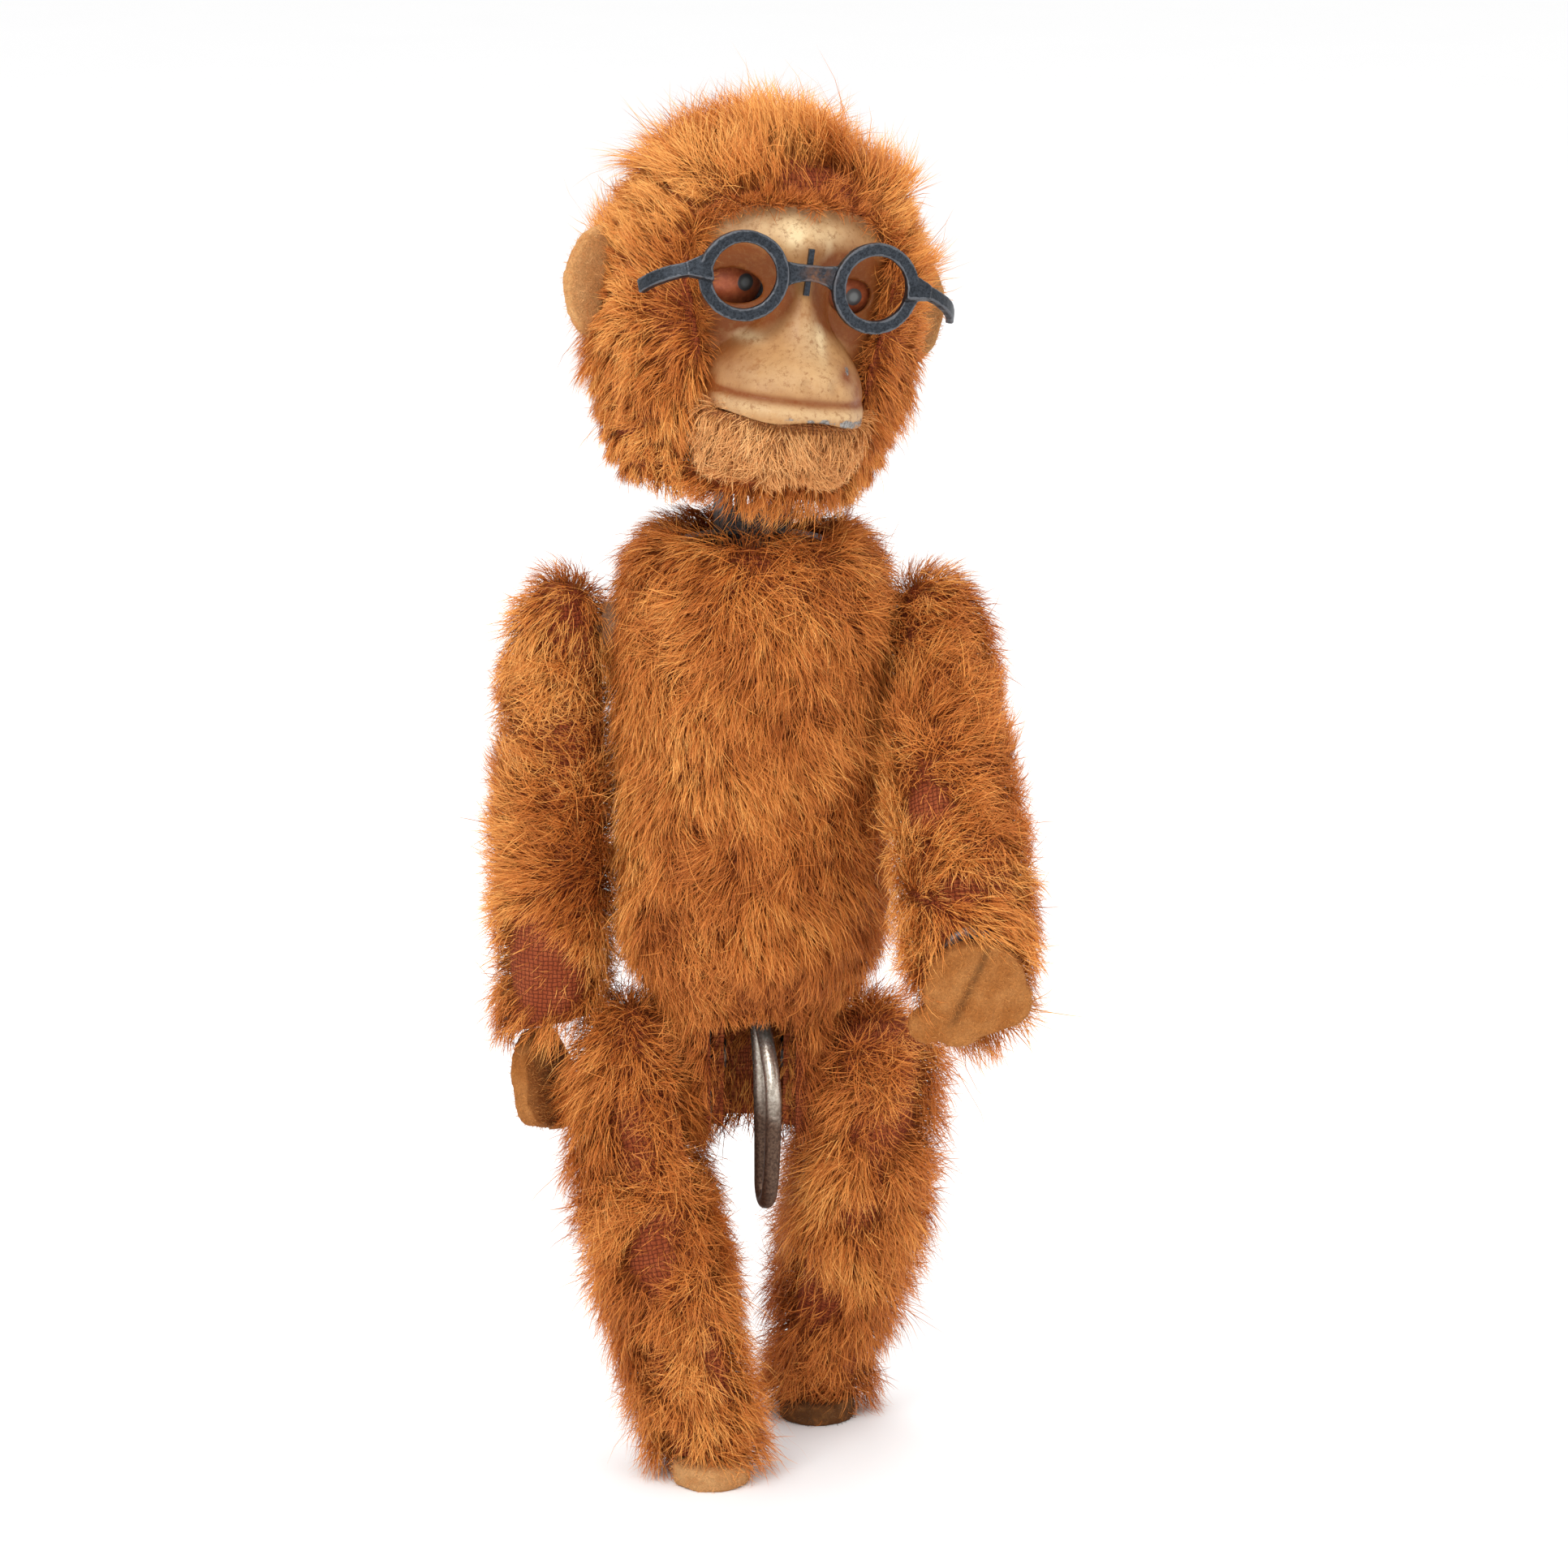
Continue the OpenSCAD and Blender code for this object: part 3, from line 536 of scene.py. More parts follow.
class Coat:
    """A pile of hairs on the outer side of a cloth mesh. Lengths are in millimetres.

    away: the way outward at a point; only cloth that faces it by more than `least` grows hair.
    lay: the way the hair is combed. rise: how far it stands up, from 0 to 1.
    patches: worn places, each a middle, a size and a strength. ragged: strength of wear in between.
    tuft, gather: size of a lock, and how far its hairs lean to its middle. wild: how far a hair strays.
    shade, shape: change of tone, and factor on the length, by place. edge: gives the roots itself.
    """

    def __init__(self, frame_matrix, away, lay, hairs, density=25.0, length=3.6, rise=0.6, patches=(),
                 seed=1, least=0.25, tuft=1.5, gather=0.55, wild=0.30, width=0.063, shade=None,
                 ragged=0.0, shape=None, edge=None):
        self.matrix, self.away, self.lay, self.hairs = frame_matrix, away, lay, hairs
        self.density, self.length, self.rise, self.patches = density, length, rise, patches
        self.seed, self.tuft, self.gather, self.wild, self.width = seed, tuft, gather, wild, width
        self.shade, self.ragged, self.shape, self.least, self.edge = shade, ragged, shape, least, edge

    def roots(self, mesh, rng):
        """Random places on the outer side of the cloth, the way up there, and the way back to its frame."""
        points, normals, tris = points_of(mesh) / MM, normals_of(mesh), triangles_of(mesh)
        a, b, c = (points[tris[:, i]] for i in range(3))
        cross = np.cross(b - a, c - a)
        area = np.linalg.norm(cross, axis=1) / 2
        back = self.matrix.inverted()
        middle = moved(back, (a + b + c) / 3)
        facing = np.sum(spun(back, unit(cross)) * unit(self.away(middle)), axis=1)
        area = np.where(facing > self.least, area, 0)
        count = int(area.sum() * self.density)
        pick = np.searchsorted(np.cumsum(area), rng.random(count) * area.sum())
        pick = np.minimum(pick, len(tris) - 1)
        u, v = rng.random(count), rng.random(count)
        over = u + v > 1
        u, v = np.where(over, 1 - u, u), np.where(over, 1 - v, v)
        w = np.stack([1 - u - v, u, v], axis=1)[:, :, None]
        root = np.sum(points[tris[pick]] * w, axis=1)
        normal = unit(np.sum(normals[tris[pick]] * w, axis=1))
        return root, normal, back

    def grow(self, name, cloth, body):
        """Every hair as a thin bent ribbon of seven points, all in one mesh that rides on the body."""
        rng = np.random.default_rng(self.seed)
        root, normal, back = self.roots(cloth.data, rng) if self.edge is None else self.edge(rng)
        local = moved(back, root)
        worn = np.zeros(len(root))
        for i, (centre, size, strength) in enumerate(self.patches):
            worn = np.maximum(worn, strength * blob(local, centre, size, self.seed * 11 + i))
        if self.ragged:
            thin = step(0.15, 0.6, noise(local * np.array([1, 1, 0.6]), 3.2, self.seed + 60))
            worn = np.maximum(worn, self.ragged * thin)
        keep = rng.random(len(root)) > worn
        root, normal, local, worn = root[keep], normal[keep], local[keep], worn[keep]
        n = len(root)
        middle, number = nearest_tuft(root, self.tuft, self.seed + 20)
        big, big_number = nearest_tuft(root, self.tuft * 2.6, self.seed + 40)
        lay = spun(self.matrix, self.lay(local, spun(back, normal)))
        drift = 0.55 * noise_vectors(root, 5.0, self.seed + 90)
        own_way = np.stack([lattice(np.floor(big * 50), self.seed + k) - 0.5 for k in range(3)], axis=1)
        lay = lay + drift * np.linalg.norm(lay, axis=1, keepdims=True)
        lay = lay + 0.85 * own_way
        lay = lay + self.wild * rng.normal(size=(n, 3))
        flat = unit(lay - normal * np.sum(lay * normal, axis=1, keepdims=True))
        length = self.length * (0.72 + 0.42 * rng.random(n)) * (0.85 + 0.3 * number)
        if self.shape is not None:
            length = length * self.shape(local)
        length = length * (1 - 0.55 * worn) * np.where(rng.random(n) < STRAY_SHARE, STRAY_LENGTH, 1)
        rise = self.rise + 0.16 * (big_number - 0.5) + 0.10 * rng.normal(size=n)
        rise = np.clip(rise, 0.08, 0.98)[:, None]
        size = length[:, None]
        tip = size * (normal * rise + flat * np.sqrt(1 - rise**2))
        bend = size * 0.5 * unit(normal * (rise + 0.45) + flat * (0.85 - rise) * 0.8)
        pull = middle - root
        pull = pull - normal * np.sum(pull * normal, axis=1, keepdims=True)
        tip = tip + pull * self.gather + 0.10 * size * rng.normal(size=(n, 3))
        rows = []
        start = root - normal * ROOT_DEPTH
        for t in (0.0, 0.42, 0.76, 1.0):
            rows.append(start + 2 * t * (1 - t) * (bend + pull * self.gather * 0.3) + t * t * tip)
        along = unit(rows[3] - rows[0])
        side = unit(np.cross(along, normal))
        face = np.cross(along, side)
        angle = rng.uniform(-1.05, 1.05, n)[:, None]
        across = side * np.cos(angle) + face * np.sin(angle)
        thick = self.width * (0.75 + 0.5 * rng.random(n))[:, None] / 2
        for row in rows:
            row[:, 2] = np.maximum(row[:, 2], FLOOR_GAP)
        verts = np.stack([
            rows[0] - across * thick, rows[0] + across * thick,
            rows[1] - across * thick * 1.05, rows[1] + across * thick * 1.05,
            rows[2] - across * thick * 0.75, rows[2] + across * thick * 0.75,
            rows[3]], axis=1).reshape(-1, 3)
        first = np.arange(n, dtype=np.int64)[:, None] * 7
        low, high = first + np.array([0, 1, 3, 2]), first + np.array([2, 3, 5, 4])
        end = first + np.array([4, 5, 6])
        shades = len(self.hairs) // 3
        tone = 0.5 + 0.30 * noise(root, 6.0, self.seed + 70) + 0.40 * (number - 0.5)
        tone = tone + 0.12 * rng.normal(size=n)
        if self.shade is not None:
            tone = tone + self.shade(local)
        shade = np.clip((tone * shades).astype(int), 0, shades - 1) * 3
        parts = [shade, shade + 1, shade + 2]
        mesh = mesh_of(name, verts, [low, high, end], self.hairs, parts, smooth=False)
        obj = new_object(name, mesh)
        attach(obj, body)


# ---- covers of woven cloth
def cloth_piece(node, body, matrix, material, seed, voxel=0.34, wobble=0.14):
    """A CAD cover made into slightly uneven cloth, with stored coordinates for its weave."""
    cloth_name = node.replace("_cover", "") + "_cloth"
    mesh = softened(node, cloth_name, voxel, 3)
    points, normals = points_of(mesh), normals_of(mesh)
    proud = wobble * noise(points, 3.4, seed) + 0.05 * noise(points, 1.1, seed + 5)
    points = points + normals * proud[:, None]
    local = moved(matrix.inverted(), points)
    radius = np.hypot(local[:, 0], local[:, 1])
    turn_mm = np.arctan2(local[:, 1], local[:, 0]) * max(2.0, float(np.median(radius)))
    settle(mesh, points)
    store(mesh, "weave", np.stack([turn_mm, local[:, 2], np.zeros(len(points))], axis=1))
    mesh.materials.append(material)
    obj = new_object(cloth_name, mesh)
    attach(obj, body)
    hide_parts(node)
    return obj


def from_axis(low, high):
    """Away from the part of the upright axis between two heights."""
    def away(p):
        z = np.clip(p[:, 2], low, high)
        return p - np.stack([np.zeros(len(p)), np.zeros(len(p)), z], axis=1)
    return away


def torso_lay(p, n):
    """Combed down, and round the shoulders a little outward."""
    high = step(74, 86, p[:, 2])
    return np.stack([0.012 * p[:, 0] * (1 + 4 * high), 0.01 * p[:, 1], -1.0 + 0.5 * high], axis=1)


def head_lay(p, n):
    """Outward round the crown and down the cheeks."""
    up = step(103, 115, p[:, 2])
    back = 0.35 * up + 0.1
    return np.stack([0.055 * p[:, 0] * (0.5 + up), back + 0.02 * p[:, 1], -0.9 + 1.7 * up], axis=1)


def arm_lay(side):
    """Brushed outward, up near the shoulder and down near the wrist."""
    def lay(p, n):
        up = step(-34, -14, p[:, 2]) * (1 - step(-9, 1, p[:, 2]))
        return np.stack([side * (0.55 + 0.02 * p[:, 0]), 0.1 * np.sign(p[:, 1]), -0.75 + 1.1 * up], axis=1)
    return lay


def leg_lay(side):
    """Tufts that stand away sideways and lean down."""
    def lay(p, n):
        return np.stack([0.11 * p[:, 0] + side * 0.1, 0.03 * p[:, 1], -0.55 + 0 * p[:, 0]], axis=1)
    return lay


def head_shape(p):
    """Longer hair over the crown, short beside the ears and where it turns in round the mask."""
    ears = bump(np.abs(p[:, 0]) - 15, 4.2) * bump(p[:, 2] - 109.7, 5.5) * bump(p[:, 1] + 1.5, 5.5)
    inside = step(-9.6, -8.2, p[:, 1]) * (np.hypot(p[:, 0], p[:, 1]) < 13.6) * (p[:, 2] < 119.5)
    front = bump(p[:, 0], 11) * step(-6, -11, p[:, 1])
    whole = 0.95 + 0.38 * step(106, 119, p[:, 2]) - 0.30 * front
    return whole * (1 - 0.72 * ears) * (1 - 0.45 * inside)


def leg_shape(side):
    """The hair stands longest along both edges of a leg, and at the thigh."""
    def shape(p):
        inner = step(1.0, 4.5, -side * p[:, 0])
        outer = step(1.5, 5.0, side * p[:, 0])
        more_in, more_out = (0.75, 0.5) if side > 0 else (0.5, 0.4)
        return 0.95 + more_in * inner + more_out * outer
    return shape


def arm_shape(p):
    """A little longer where the sleeve ends."""
    return 1 + 0.10 * step(-27, -33, p[:, 2])


def even(value):
    """The same value all over a piece."""
    return lambda p: value + 0 * p[:, 0]


def torso_shape(p):
    """Shorter over the lever's slot."""
    return 1 - 0.6 * bump(p[:, 0], 4.5) * step(53, 46, p[:, 2]) * (p[:, 1] < 0)


def torso_tone(p):
    """Darker down the belly and under it."""
    return -0.05 - 0.16 * step(58, 46, p[:, 2]) - 0.25 * step(45, 40, p[:, 2])


def head_tone(p):
    """Lighter over the crown, darker round the mask."""
    return 0.12 + 0.16 * step(108, 118, p[:, 2]) - 0.25 * bump(p[:, 0], 8) * step(-7, -11, p[:, 1])


torso = dict(away=from_axis(38, 80), lay=torso_lay, shape=torso_shape, shade=torso_tone, length=3.6,
             rise=0.54, ragged=0.25)
head = dict(away=from_axis(100, 110), lay=head_lay, shape=head_shape, shade=head_tone, length=4.1,
            rise=0.70, ragged=0.3, wild=0.2, tuft=1.9, gather=0.75, least=-0.35)
arm = dict(away=from_axis(-60, -2), shape=arm_shape, shade=even(0.14), length=3.5, rise=0.60, ragged=0.5)
leg = dict(away=from_axis(-60, -2), shade=even(-0.04), length=3.5, rise=0.60, ragged=0.85, wild=0.33)

# For each cover: its body, its frame and its coat, with worn patches as (middle, size, strength)
COATS = {
    "torso_cover_front": ("torso", TORSO, dict(torso, patches=[
        ((-6.5, -7, 39.5), (2.4, 4, 4.0), 0.95), ((0, -6, 34.5), (6.5, 6, 3.6), 0.85),
        ((7.5, -7, 36), (3, 4, 3), 0.7), ((0.8, -11, 75.3), (0.8, 3, 1.1), 0.9)])),
    "torso_cover_back": ("torso", TORSO, dict(torso, patches=[((2, 9, 60), (4, 4, 6), 0.5)])),
    "crown_cover": ("head", HEAD, dict(head, patches=[
        ((1.0, -8.5, 121.6), (4.6, 3.0, 1.6), 0.8), ((4.5, -9.0, 120), (2.6, 2.5, 1.2), 0.6)])),
    "right_cheek_cover": ("head", HEAD, dict(head, patches=[((-10.5, -8, 110), (1.6, 3, 4), 0.5)])),
    "left_cheek_cover": ("head", HEAD, dict(head, patches=[((10.5, -8, 108), (1.8, 3, 5), 0.65)])),
    "right_arm_cover": ("right_arm", RIGHT_ARM, dict(arm, lay=arm_lay(-1), patches=[
        ((-1.0, -4, -31.5), (4.2, 4, 5.5), 0.95), ((0.5, -4, -9), (1.6, 3, 5), 0.5)])),
    "left_arm_cover": ("left_arm", LEFT_ARM, dict(arm, lay=arm_lay(1), patches=[
        ((-2.5, -3.5, -19.5), (1.7, 4, 2.8), 0.98), ((-0.5, -4.2, -28.2), (2.2, 4, 1.5), 0.9)])),
    "right_leg_cover": ("right_leg", RIGHT_LEG, dict(leg, lay=leg_lay(-1), shape=leg_shape(-1), patches=[
        ((-1.8, -5, -19), (2.2, 4, 3.4), 0.93), ((-1.5, -5, -8), (1.8, 4, 4), 0.8),
        ((1.8, -4, -29), (0.7, 4, 6), 0.85), ((2.6, -4, -10), (0.6, 4, 5), 0.85)])),
    "left_leg_cover": ("left_leg", LEFT_LEG, dict(leg, lay=leg_lay(1), shape=leg_shape(1), patches=[
        ((0.5, -5, -14), (1.6, 4, 3), 0.85), ((-1.5, -4, -25), (2.2, 4, 4), 0.85),
        ((1.5, -4, -6), (1.4, 4, 3), 0.7)])),
}
for number, (node, (body, matrix, coat)) in enumerate(COATS.items()):
    cloth = cloth_piece(node, body, matrix, materials["backing"], 100 + number)
    Coat(matrix, hairs=mohair_hairs, seed=200 + 17 * number, **coat).grow(
        node.replace("_cover", "_mohair"), cloth, body)


def forward(p):
    """Straight to the front, everywhere."""
    return np.stack([0 * p[:, 0], -1 + 0 * p[:, 0], 0 * p[:, 0]], axis=1)


lining = cloth_piece("pelvis_lining", "torso", TORSO, materials["backing"], 140, 0.2, 0.1)
lining_coat = Coat(TORSO, away=forward, lay=torso_lay, hairs=mohair_hairs, density=13, length=1.7, rise=0.6,
                   seed=141, ragged=0.6)
lining_coat.grow("pelvis_lining_mohair", lining, "torso")


def chin_lay(p, n):
    """Combed down over the lip of the cover."""
    return np.stack([0.05 * p[:, 0], -0.2 + 0 * p[:, 0], -1 + 0 * p[:, 0]], axis=1)


def chin_away(p):
    """Away from the middle of the chin."""
    return p - np.array([0.0, -11.0, 98.5])


chin = cloth_piece("chin_cover", "head", HEAD, materials["chin_backing"], 150, 0.25, 0.25)
chin_coat = Coat(HEAD, away=chin_away, lay=chin_lay, hairs=pale_hairs, density=26, length=2.0, rise=0.42,
                 seed=160, tuft=1.3, gather=0.5, width=0.065, ragged=0.4)
chin_coat.grow("chin_mohair", chin, "head")


# ---- felt ears, hands and feet
def felt_piece(node, body, matrix, seed, soil_and_shade, felt):
    """A CAD felt piece made soft and uneven, with a stored map of where it is darkened by soil and by painted
    shade.
    """
    mesh = softened(node, node, 0.28, 6)
    points, normals = points_of(mesh), normals_of(mesh)
    proud = 0.16 * noise(points, 2.6, seed) + 0.07 * noise(points, 0.8, seed + 5)
    points = points + normals * proud[:, None]
    local = moved(matrix.inverted(), points)
    settle(mesh, points)
    store(mesh, "soil_and_shade", np.clip(soil_and_shade(local), 0, 1))
    mesh.materials.append(materials[felt])
    obj = new_object(node + "_felt", mesh)
    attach(obj, body)
    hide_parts(node)
    return obj


FIBRE_DENSITY = 14  # per square millimetre
FIBRE_LENGTH = 0.55
FIBRE_HALF_WIDTH = 0.022


def fuzz(name, obj, body, hairs, seed):
    """Short loose fibres standing all over a felt piece."""
    rng = np.random.default_rng(seed)
    mesh = obj.data
    points, normals, tris = points_of(mesh) / MM, normals_of(mesh), triangles_of(mesh)
    a, b, c = (points[tris[:, i]] for i in range(3))
    area = np.linalg.norm(np.cross(b - a, c - a), axis=1) / 2
    n = int(area.sum() * FIBRE_DENSITY)
    pick = np.minimum(np.searchsorted(np.cumsum(area), rng.random(n) * area.sum()), len(tris) - 1)
    w = rng.dirichlet((1, 1, 1), n)[:, :, None]
    root = np.sum(points[tris[pick]] * w, axis=1)
    normal = unit(np.sum(normals[tris[pick]] * w, axis=1))
    lean = unit(normal + 0.9 * rng.normal(size=(n, 3)))
    size = FIBRE_LENGTH * (0.4 + 0.9 * rng.random(n))[:, None]
    across = unit(np.cross(lean, rng.normal(size=(n, 3)))) * FIBRE_HALF_WIDTH
    curl = 0.25 * size * rng.normal(size=(n, 3))
    base = root - normal * 0.05
    bend = base + lean * size * 0.55 + curl
    verts = np.stack([base - across, base + across, bend + across * 0.8, bend - across * 0.8,
                      base + lean * size], axis=1).reshape(-1, 3)
    verts[:, 2] = np.maximum(verts[:, 2], FELT_FLOOR_GAP)
    first = np.arange(n, dtype=np.int64)[:, None] * 5
    shade = rng.integers(0, len(hairs) // 3, n) * 3
    faces = [first + np.array([0, 1, 2, 3]), first + np.array([3, 2, 4])]
    mesh = mesh_of(name, verts, faces, hairs, [shade + 1, shade + 2], smooth=False)
    made = new_object(name, mesh)
    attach(made, body)


def cuff_shade(p):
    """Painted shade: darker on the half of the mitten nearer the body, the inner side that is turned away from the
    light.
    """
    return 0.15 + 0.75 * step(-1.5, 1.5, p[:, 0])


def hand_crease_shade_and_stain(p):
    """Painted shade along a crease across the mitten, and a stain near its upper end."""
    x, z = p[:, 0] + 0.4, p[:, 2] + 36.5
    crease_shade = bump(0.8 * x - 0.6 * z, 0.35) * step(4.0, 2.5, np.hypot(x, z))
    stain = bump(np.hypot(x - 0.9, z - 3.9), 0.9)
    return 0.10 + 0.55 * crease_shade + 0.6 * stain


# For each felt piece: its body, its frame, where it is darkened by soil and painted shade, its felt and its loose
# fibres
FELTS = {
    # The right ear gets darker towards the bottom, the left ear and the right foot a little darker all over, and
    # the left foot dark all over.
    "right_ear": ("head", HEAD, lambda p: 0.5 * step(106.0, 104.0, p[:, 2]), "felt_pale", pale_hairs),
    "left_ear": ("head", HEAD, even(0.35), "felt_pale", pale_hairs),
    "right_hand": ("right_arm", RIGHT_ARM, cuff_shade, "felt", felt_hairs),
    "left_hand": ("left_arm", LEFT_ARM, hand_crease_shade_and_stain, "felt", felt_hairs),
    "right_foot": ("right_leg", RIGHT_LEG, even(0.2), "felt_pale", pale_hairs),
    "left_foot": ("left_leg", LEFT_LEG, even(0.85), "felt", dark_hairs),
}
for number, (node, (body, matrix, soil_and_shade, felt, fibres)) in enumerate(FELTS.items()):
    piece = felt_piece(node, body, matrix, 300 + number, soil_and_shade, felt)
    fuzz(node + "_fuzz", piece, body, fibres, 320 + number)


# ---- painted tin mask
BROW_TOP = 119.6
LIP_EDGE = 100.9
EYE_X, EYE_Z = 5.5, 111.7
EYE_HALF = (2.4, 1.57)
MASK_COLUMNS, MASK_ROWS = 101, 105
TIN = 0.42
# Height and half width of the mask
HALF_WIDTHS = [(100.9, 7.6), (103.5, 7.6), (106, 7.9), (108.5, 8.6), (111, 9.2), (114, 9.5), (116.5, 9.1),
               (118.2, 7.6), (119.2, 5.4), (119.6, 3.2)]


def mask_depth(x, z):
    """How far the face stands forward of the middle of the head."""
    brow = np.where(z < 114, 12.6, 12.6 - 1.4 * ((z - 114) / 5.2) ** 2)
    muzzle = 7.6 / (1 + np.exp((z - 106.6) * 0.62))
    half = 2.4 + 5.2 / (1 + np.exp((z - 107.2) * 0.8))
    snout = muzzle * np.maximum(1 - (np.abs(x) / (half + 0.1)) ** 4, 0) ** 0.6
    nose = 2.1 * bump(x, 2.1) * bump(z - 110.5, 4.5)
    socket = 1.3 * bump(np.abs(x) - EYE_X, 2.4) * bump(z - EYE_Z, 2.2)
    brows = 0.9 * bump(z - 116.5, 2) * bump(x, 6)
    return np.sqrt(np.maximum(brow**2 - x**2, 1)) + snout + nose - socket + brows


def mask_details(x, z):
    """Lip band, nostrils and small dents, finer than the CAD."""
    lip = 0.30 * bump(z - 101.7, 0.55) - 0.28 * bump(z - 102.75, 0.35)
    tip = 0.45 * bump(x - 1.6, 2.6) * bump(z - 105.4, 1.3)
    nostrils = 0.5 * (bump(x - 0.1, 0.55) + bump(x - 2.9, 0.55)) * bump(z - 104.3, 0.5)
    dents = np.stack([x, 0 * x, z], axis=-1).reshape(-1, 3)
    return lip + tip - nostrils + (0.12 * noise(dents, 2.4, 5)).reshape(x.shape)


def blot(x, z, at_x, at_z, wide, high):
    """One soft spot on the mask, by its middle and its size."""
    return bump(x - at_x, wide) * bump(z - at_z, high)


def wear_maps(x, z):
    """Where the mask has grime and painted shade, paler paint and painted highlights, and paint chipped off."""
    eyes = np.hypot((np.abs(x) - EYE_X) / 3.4, (z - 111.9) / 2.7)
    half = np.maximum(np.interp(z, *zip(*HALF_WIDTHS)), 1)
    edge = 1 - step(0, 1.4, 9.0 * (1 - np.abs(x) / half))
    # Grime: stains in the sockets, darker along the sides and on the cheeks; painted shade in the groove above the
    # lip band at 102.75 mm.
    grime_and_shade = 1.3 * (1 - step(1.0, 1.75, eyes)) + 0.8 * edge + 0.75 * bump(z - 102.75, 0.35)
    grime_and_shade += 0.55 * step(4.2, 7, np.abs(x)) * bump(z - 107, 4)
    grime_and_shade += 0.5 * blot(x, z, 2.5, 115.2, 3.2, 1.1) + 0.8 * blot(x, z, 4.2, 105.2, 0.8, 0.9)
    grime_and_shade += 0.5 * blot(x, z, 5.6, 103.8, 0.9, 1.2)
    grime_and_shade += 0.35 * blot(x, z, -6.4, 107.5, 1.8, 2.5) + 0.35 * blot(x, z, 6.4, 107.5, 1.8, 2.5)
    # Painted highlights on the brow, down the nose and along the ridge of the lip band; paler paint over the
    # muzzle.
    pale_and_highlight = 0.9 * blot(x, z, -4.6, 107.7, 1.2, 0.6) + 0.8 * blot(x, z, -0.5, 117.4, 4.5, 1.2)
    pale_and_highlight += 0.7 * blot(x, z, -1.2, 116.8, 0.9, 1.3) + 0.6 * blot(x, z, 2.2, 115.6, 0.5, 1.2)
    pale_and_highlight += 0.7 * blot(x, z, 1.9, 108.6, 0.6, 2.0) + 0.45 * blot(x, z, 0.6, 108.5, 2.0, 2.5)
    pale_and_highlight += 0.45 * bump(z - 101.8, 0.7) + 0.25 * bump(z - 104.5, 1.5)
    bare = 0.62 * bump(z - 101.1, 0.45) * (0.35 + 0.65 * step(-2, 3, x))
    bare += 0.5 * blot(x, z, 4.4, 105.6, 0.6, 0.6)
    return {"grime_and_shade": grime_and_shade, "pale_and_highlight": pale_and_highlight, "bare": bare}


def build_mask():
    """The pressed and painted tin face, with its eye holes, in place of the CAD mask."""
    columns, rows = MASK_COLUMNS, MASK_ROWS
    v = np.linspace(0, 1, rows)
    z_row = LIP_EDGE + v * (BROW_TOP - LIP_EDGE)
    half = np.interp(z_row, *zip(*HALF_WIDTHS))
    for _ in range(6):
        half[1:-1] = (half[:-2] + 2 * half[1:-1] + half[2:]) / 4
    u = np.linspace(-1, 1, columns)
    x = half[:, None] * u[None, :]
    z = np.repeat(z_row[:, None], columns, axis=1)
    z = z + 0.22 * np.sin(x * 0.75 + 0.6) * bump(z - LIP_EDGE, 1.6)
    y = -(mask_depth(x, z) + mask_details(x, z))
    cells = np.arange(rows * columns).reshape(rows, columns)
    corners = (cells[:-1, :-1], cells[:-1, 1:], cells[1:, 1:], cells[1:, :-1])
    quads = np.stack(corners, axis=-1).reshape(-1, 4)
    flat_x, flat_z = x.ravel(), z.ravel()
    reach = np.full(len(flat_x), 9.0)
    for side in (-1, 1):
        dx, dz = (flat_x - side * EYE_X) / EYE_HALF[0], (flat_z - EYE_Z) / EYE_HALF[1]
        reach = np.minimum(reach, np.hypot(dx, dz))
    open_quad = reach[quads].mean(axis=1) < 1
    rim = np.zeros(len(flat_x), bool)
    rim[np.unique(quads[open_quad])] = True
    still = np.zeros(len(flat_x), bool)
    still[np.unique(quads[~open_quad])] = True
    rim &= still
    for side in (-1, 1):
        near = rim & (flat_x * side > 0)
        dx, dz = flat_x[near] - side * EYE_X, flat_z[near] - EYE_Z
        q = np.hypot(dx / EYE_HALF[0], dz / EYE_HALF[1])
        flat_x[near], flat_z[near] = side * EYE_X + dx / q, EYE_Z + dz / q
    flat_y = -(mask_depth(flat_x, flat_z) + mask_details(flat_x, flat_z))
    points = np.stack([flat_x, flat_y, flat_z], axis=1)
    quads = quads[~open_quad]
    used = np.unique(quads)
    renumber = np.zeros(len(points), int)
    renumber[used] = np.arange(len(used))
    points, quads = points[used], renumber[quads]
    mesh = mesh_of("face_mask_tin", moved(HEAD, points), [quads], [materials["mask_paint"]])
    for name, values in wear_maps(points[:, 0], points[:, 2]).items():
        store(mesh, name, values)
    obj = new_object("face_mask_tin", mesh)
    solid = obj.modifiers.new("thickness", "SOLIDIFY")
    solid.thickness = TIN * MM
    solid.offset = -1
    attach(obj, "head")
    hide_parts("face_mask")


build_mask()


FRINGE_HAIRS = 5200
BROW_SHARE = 0.34


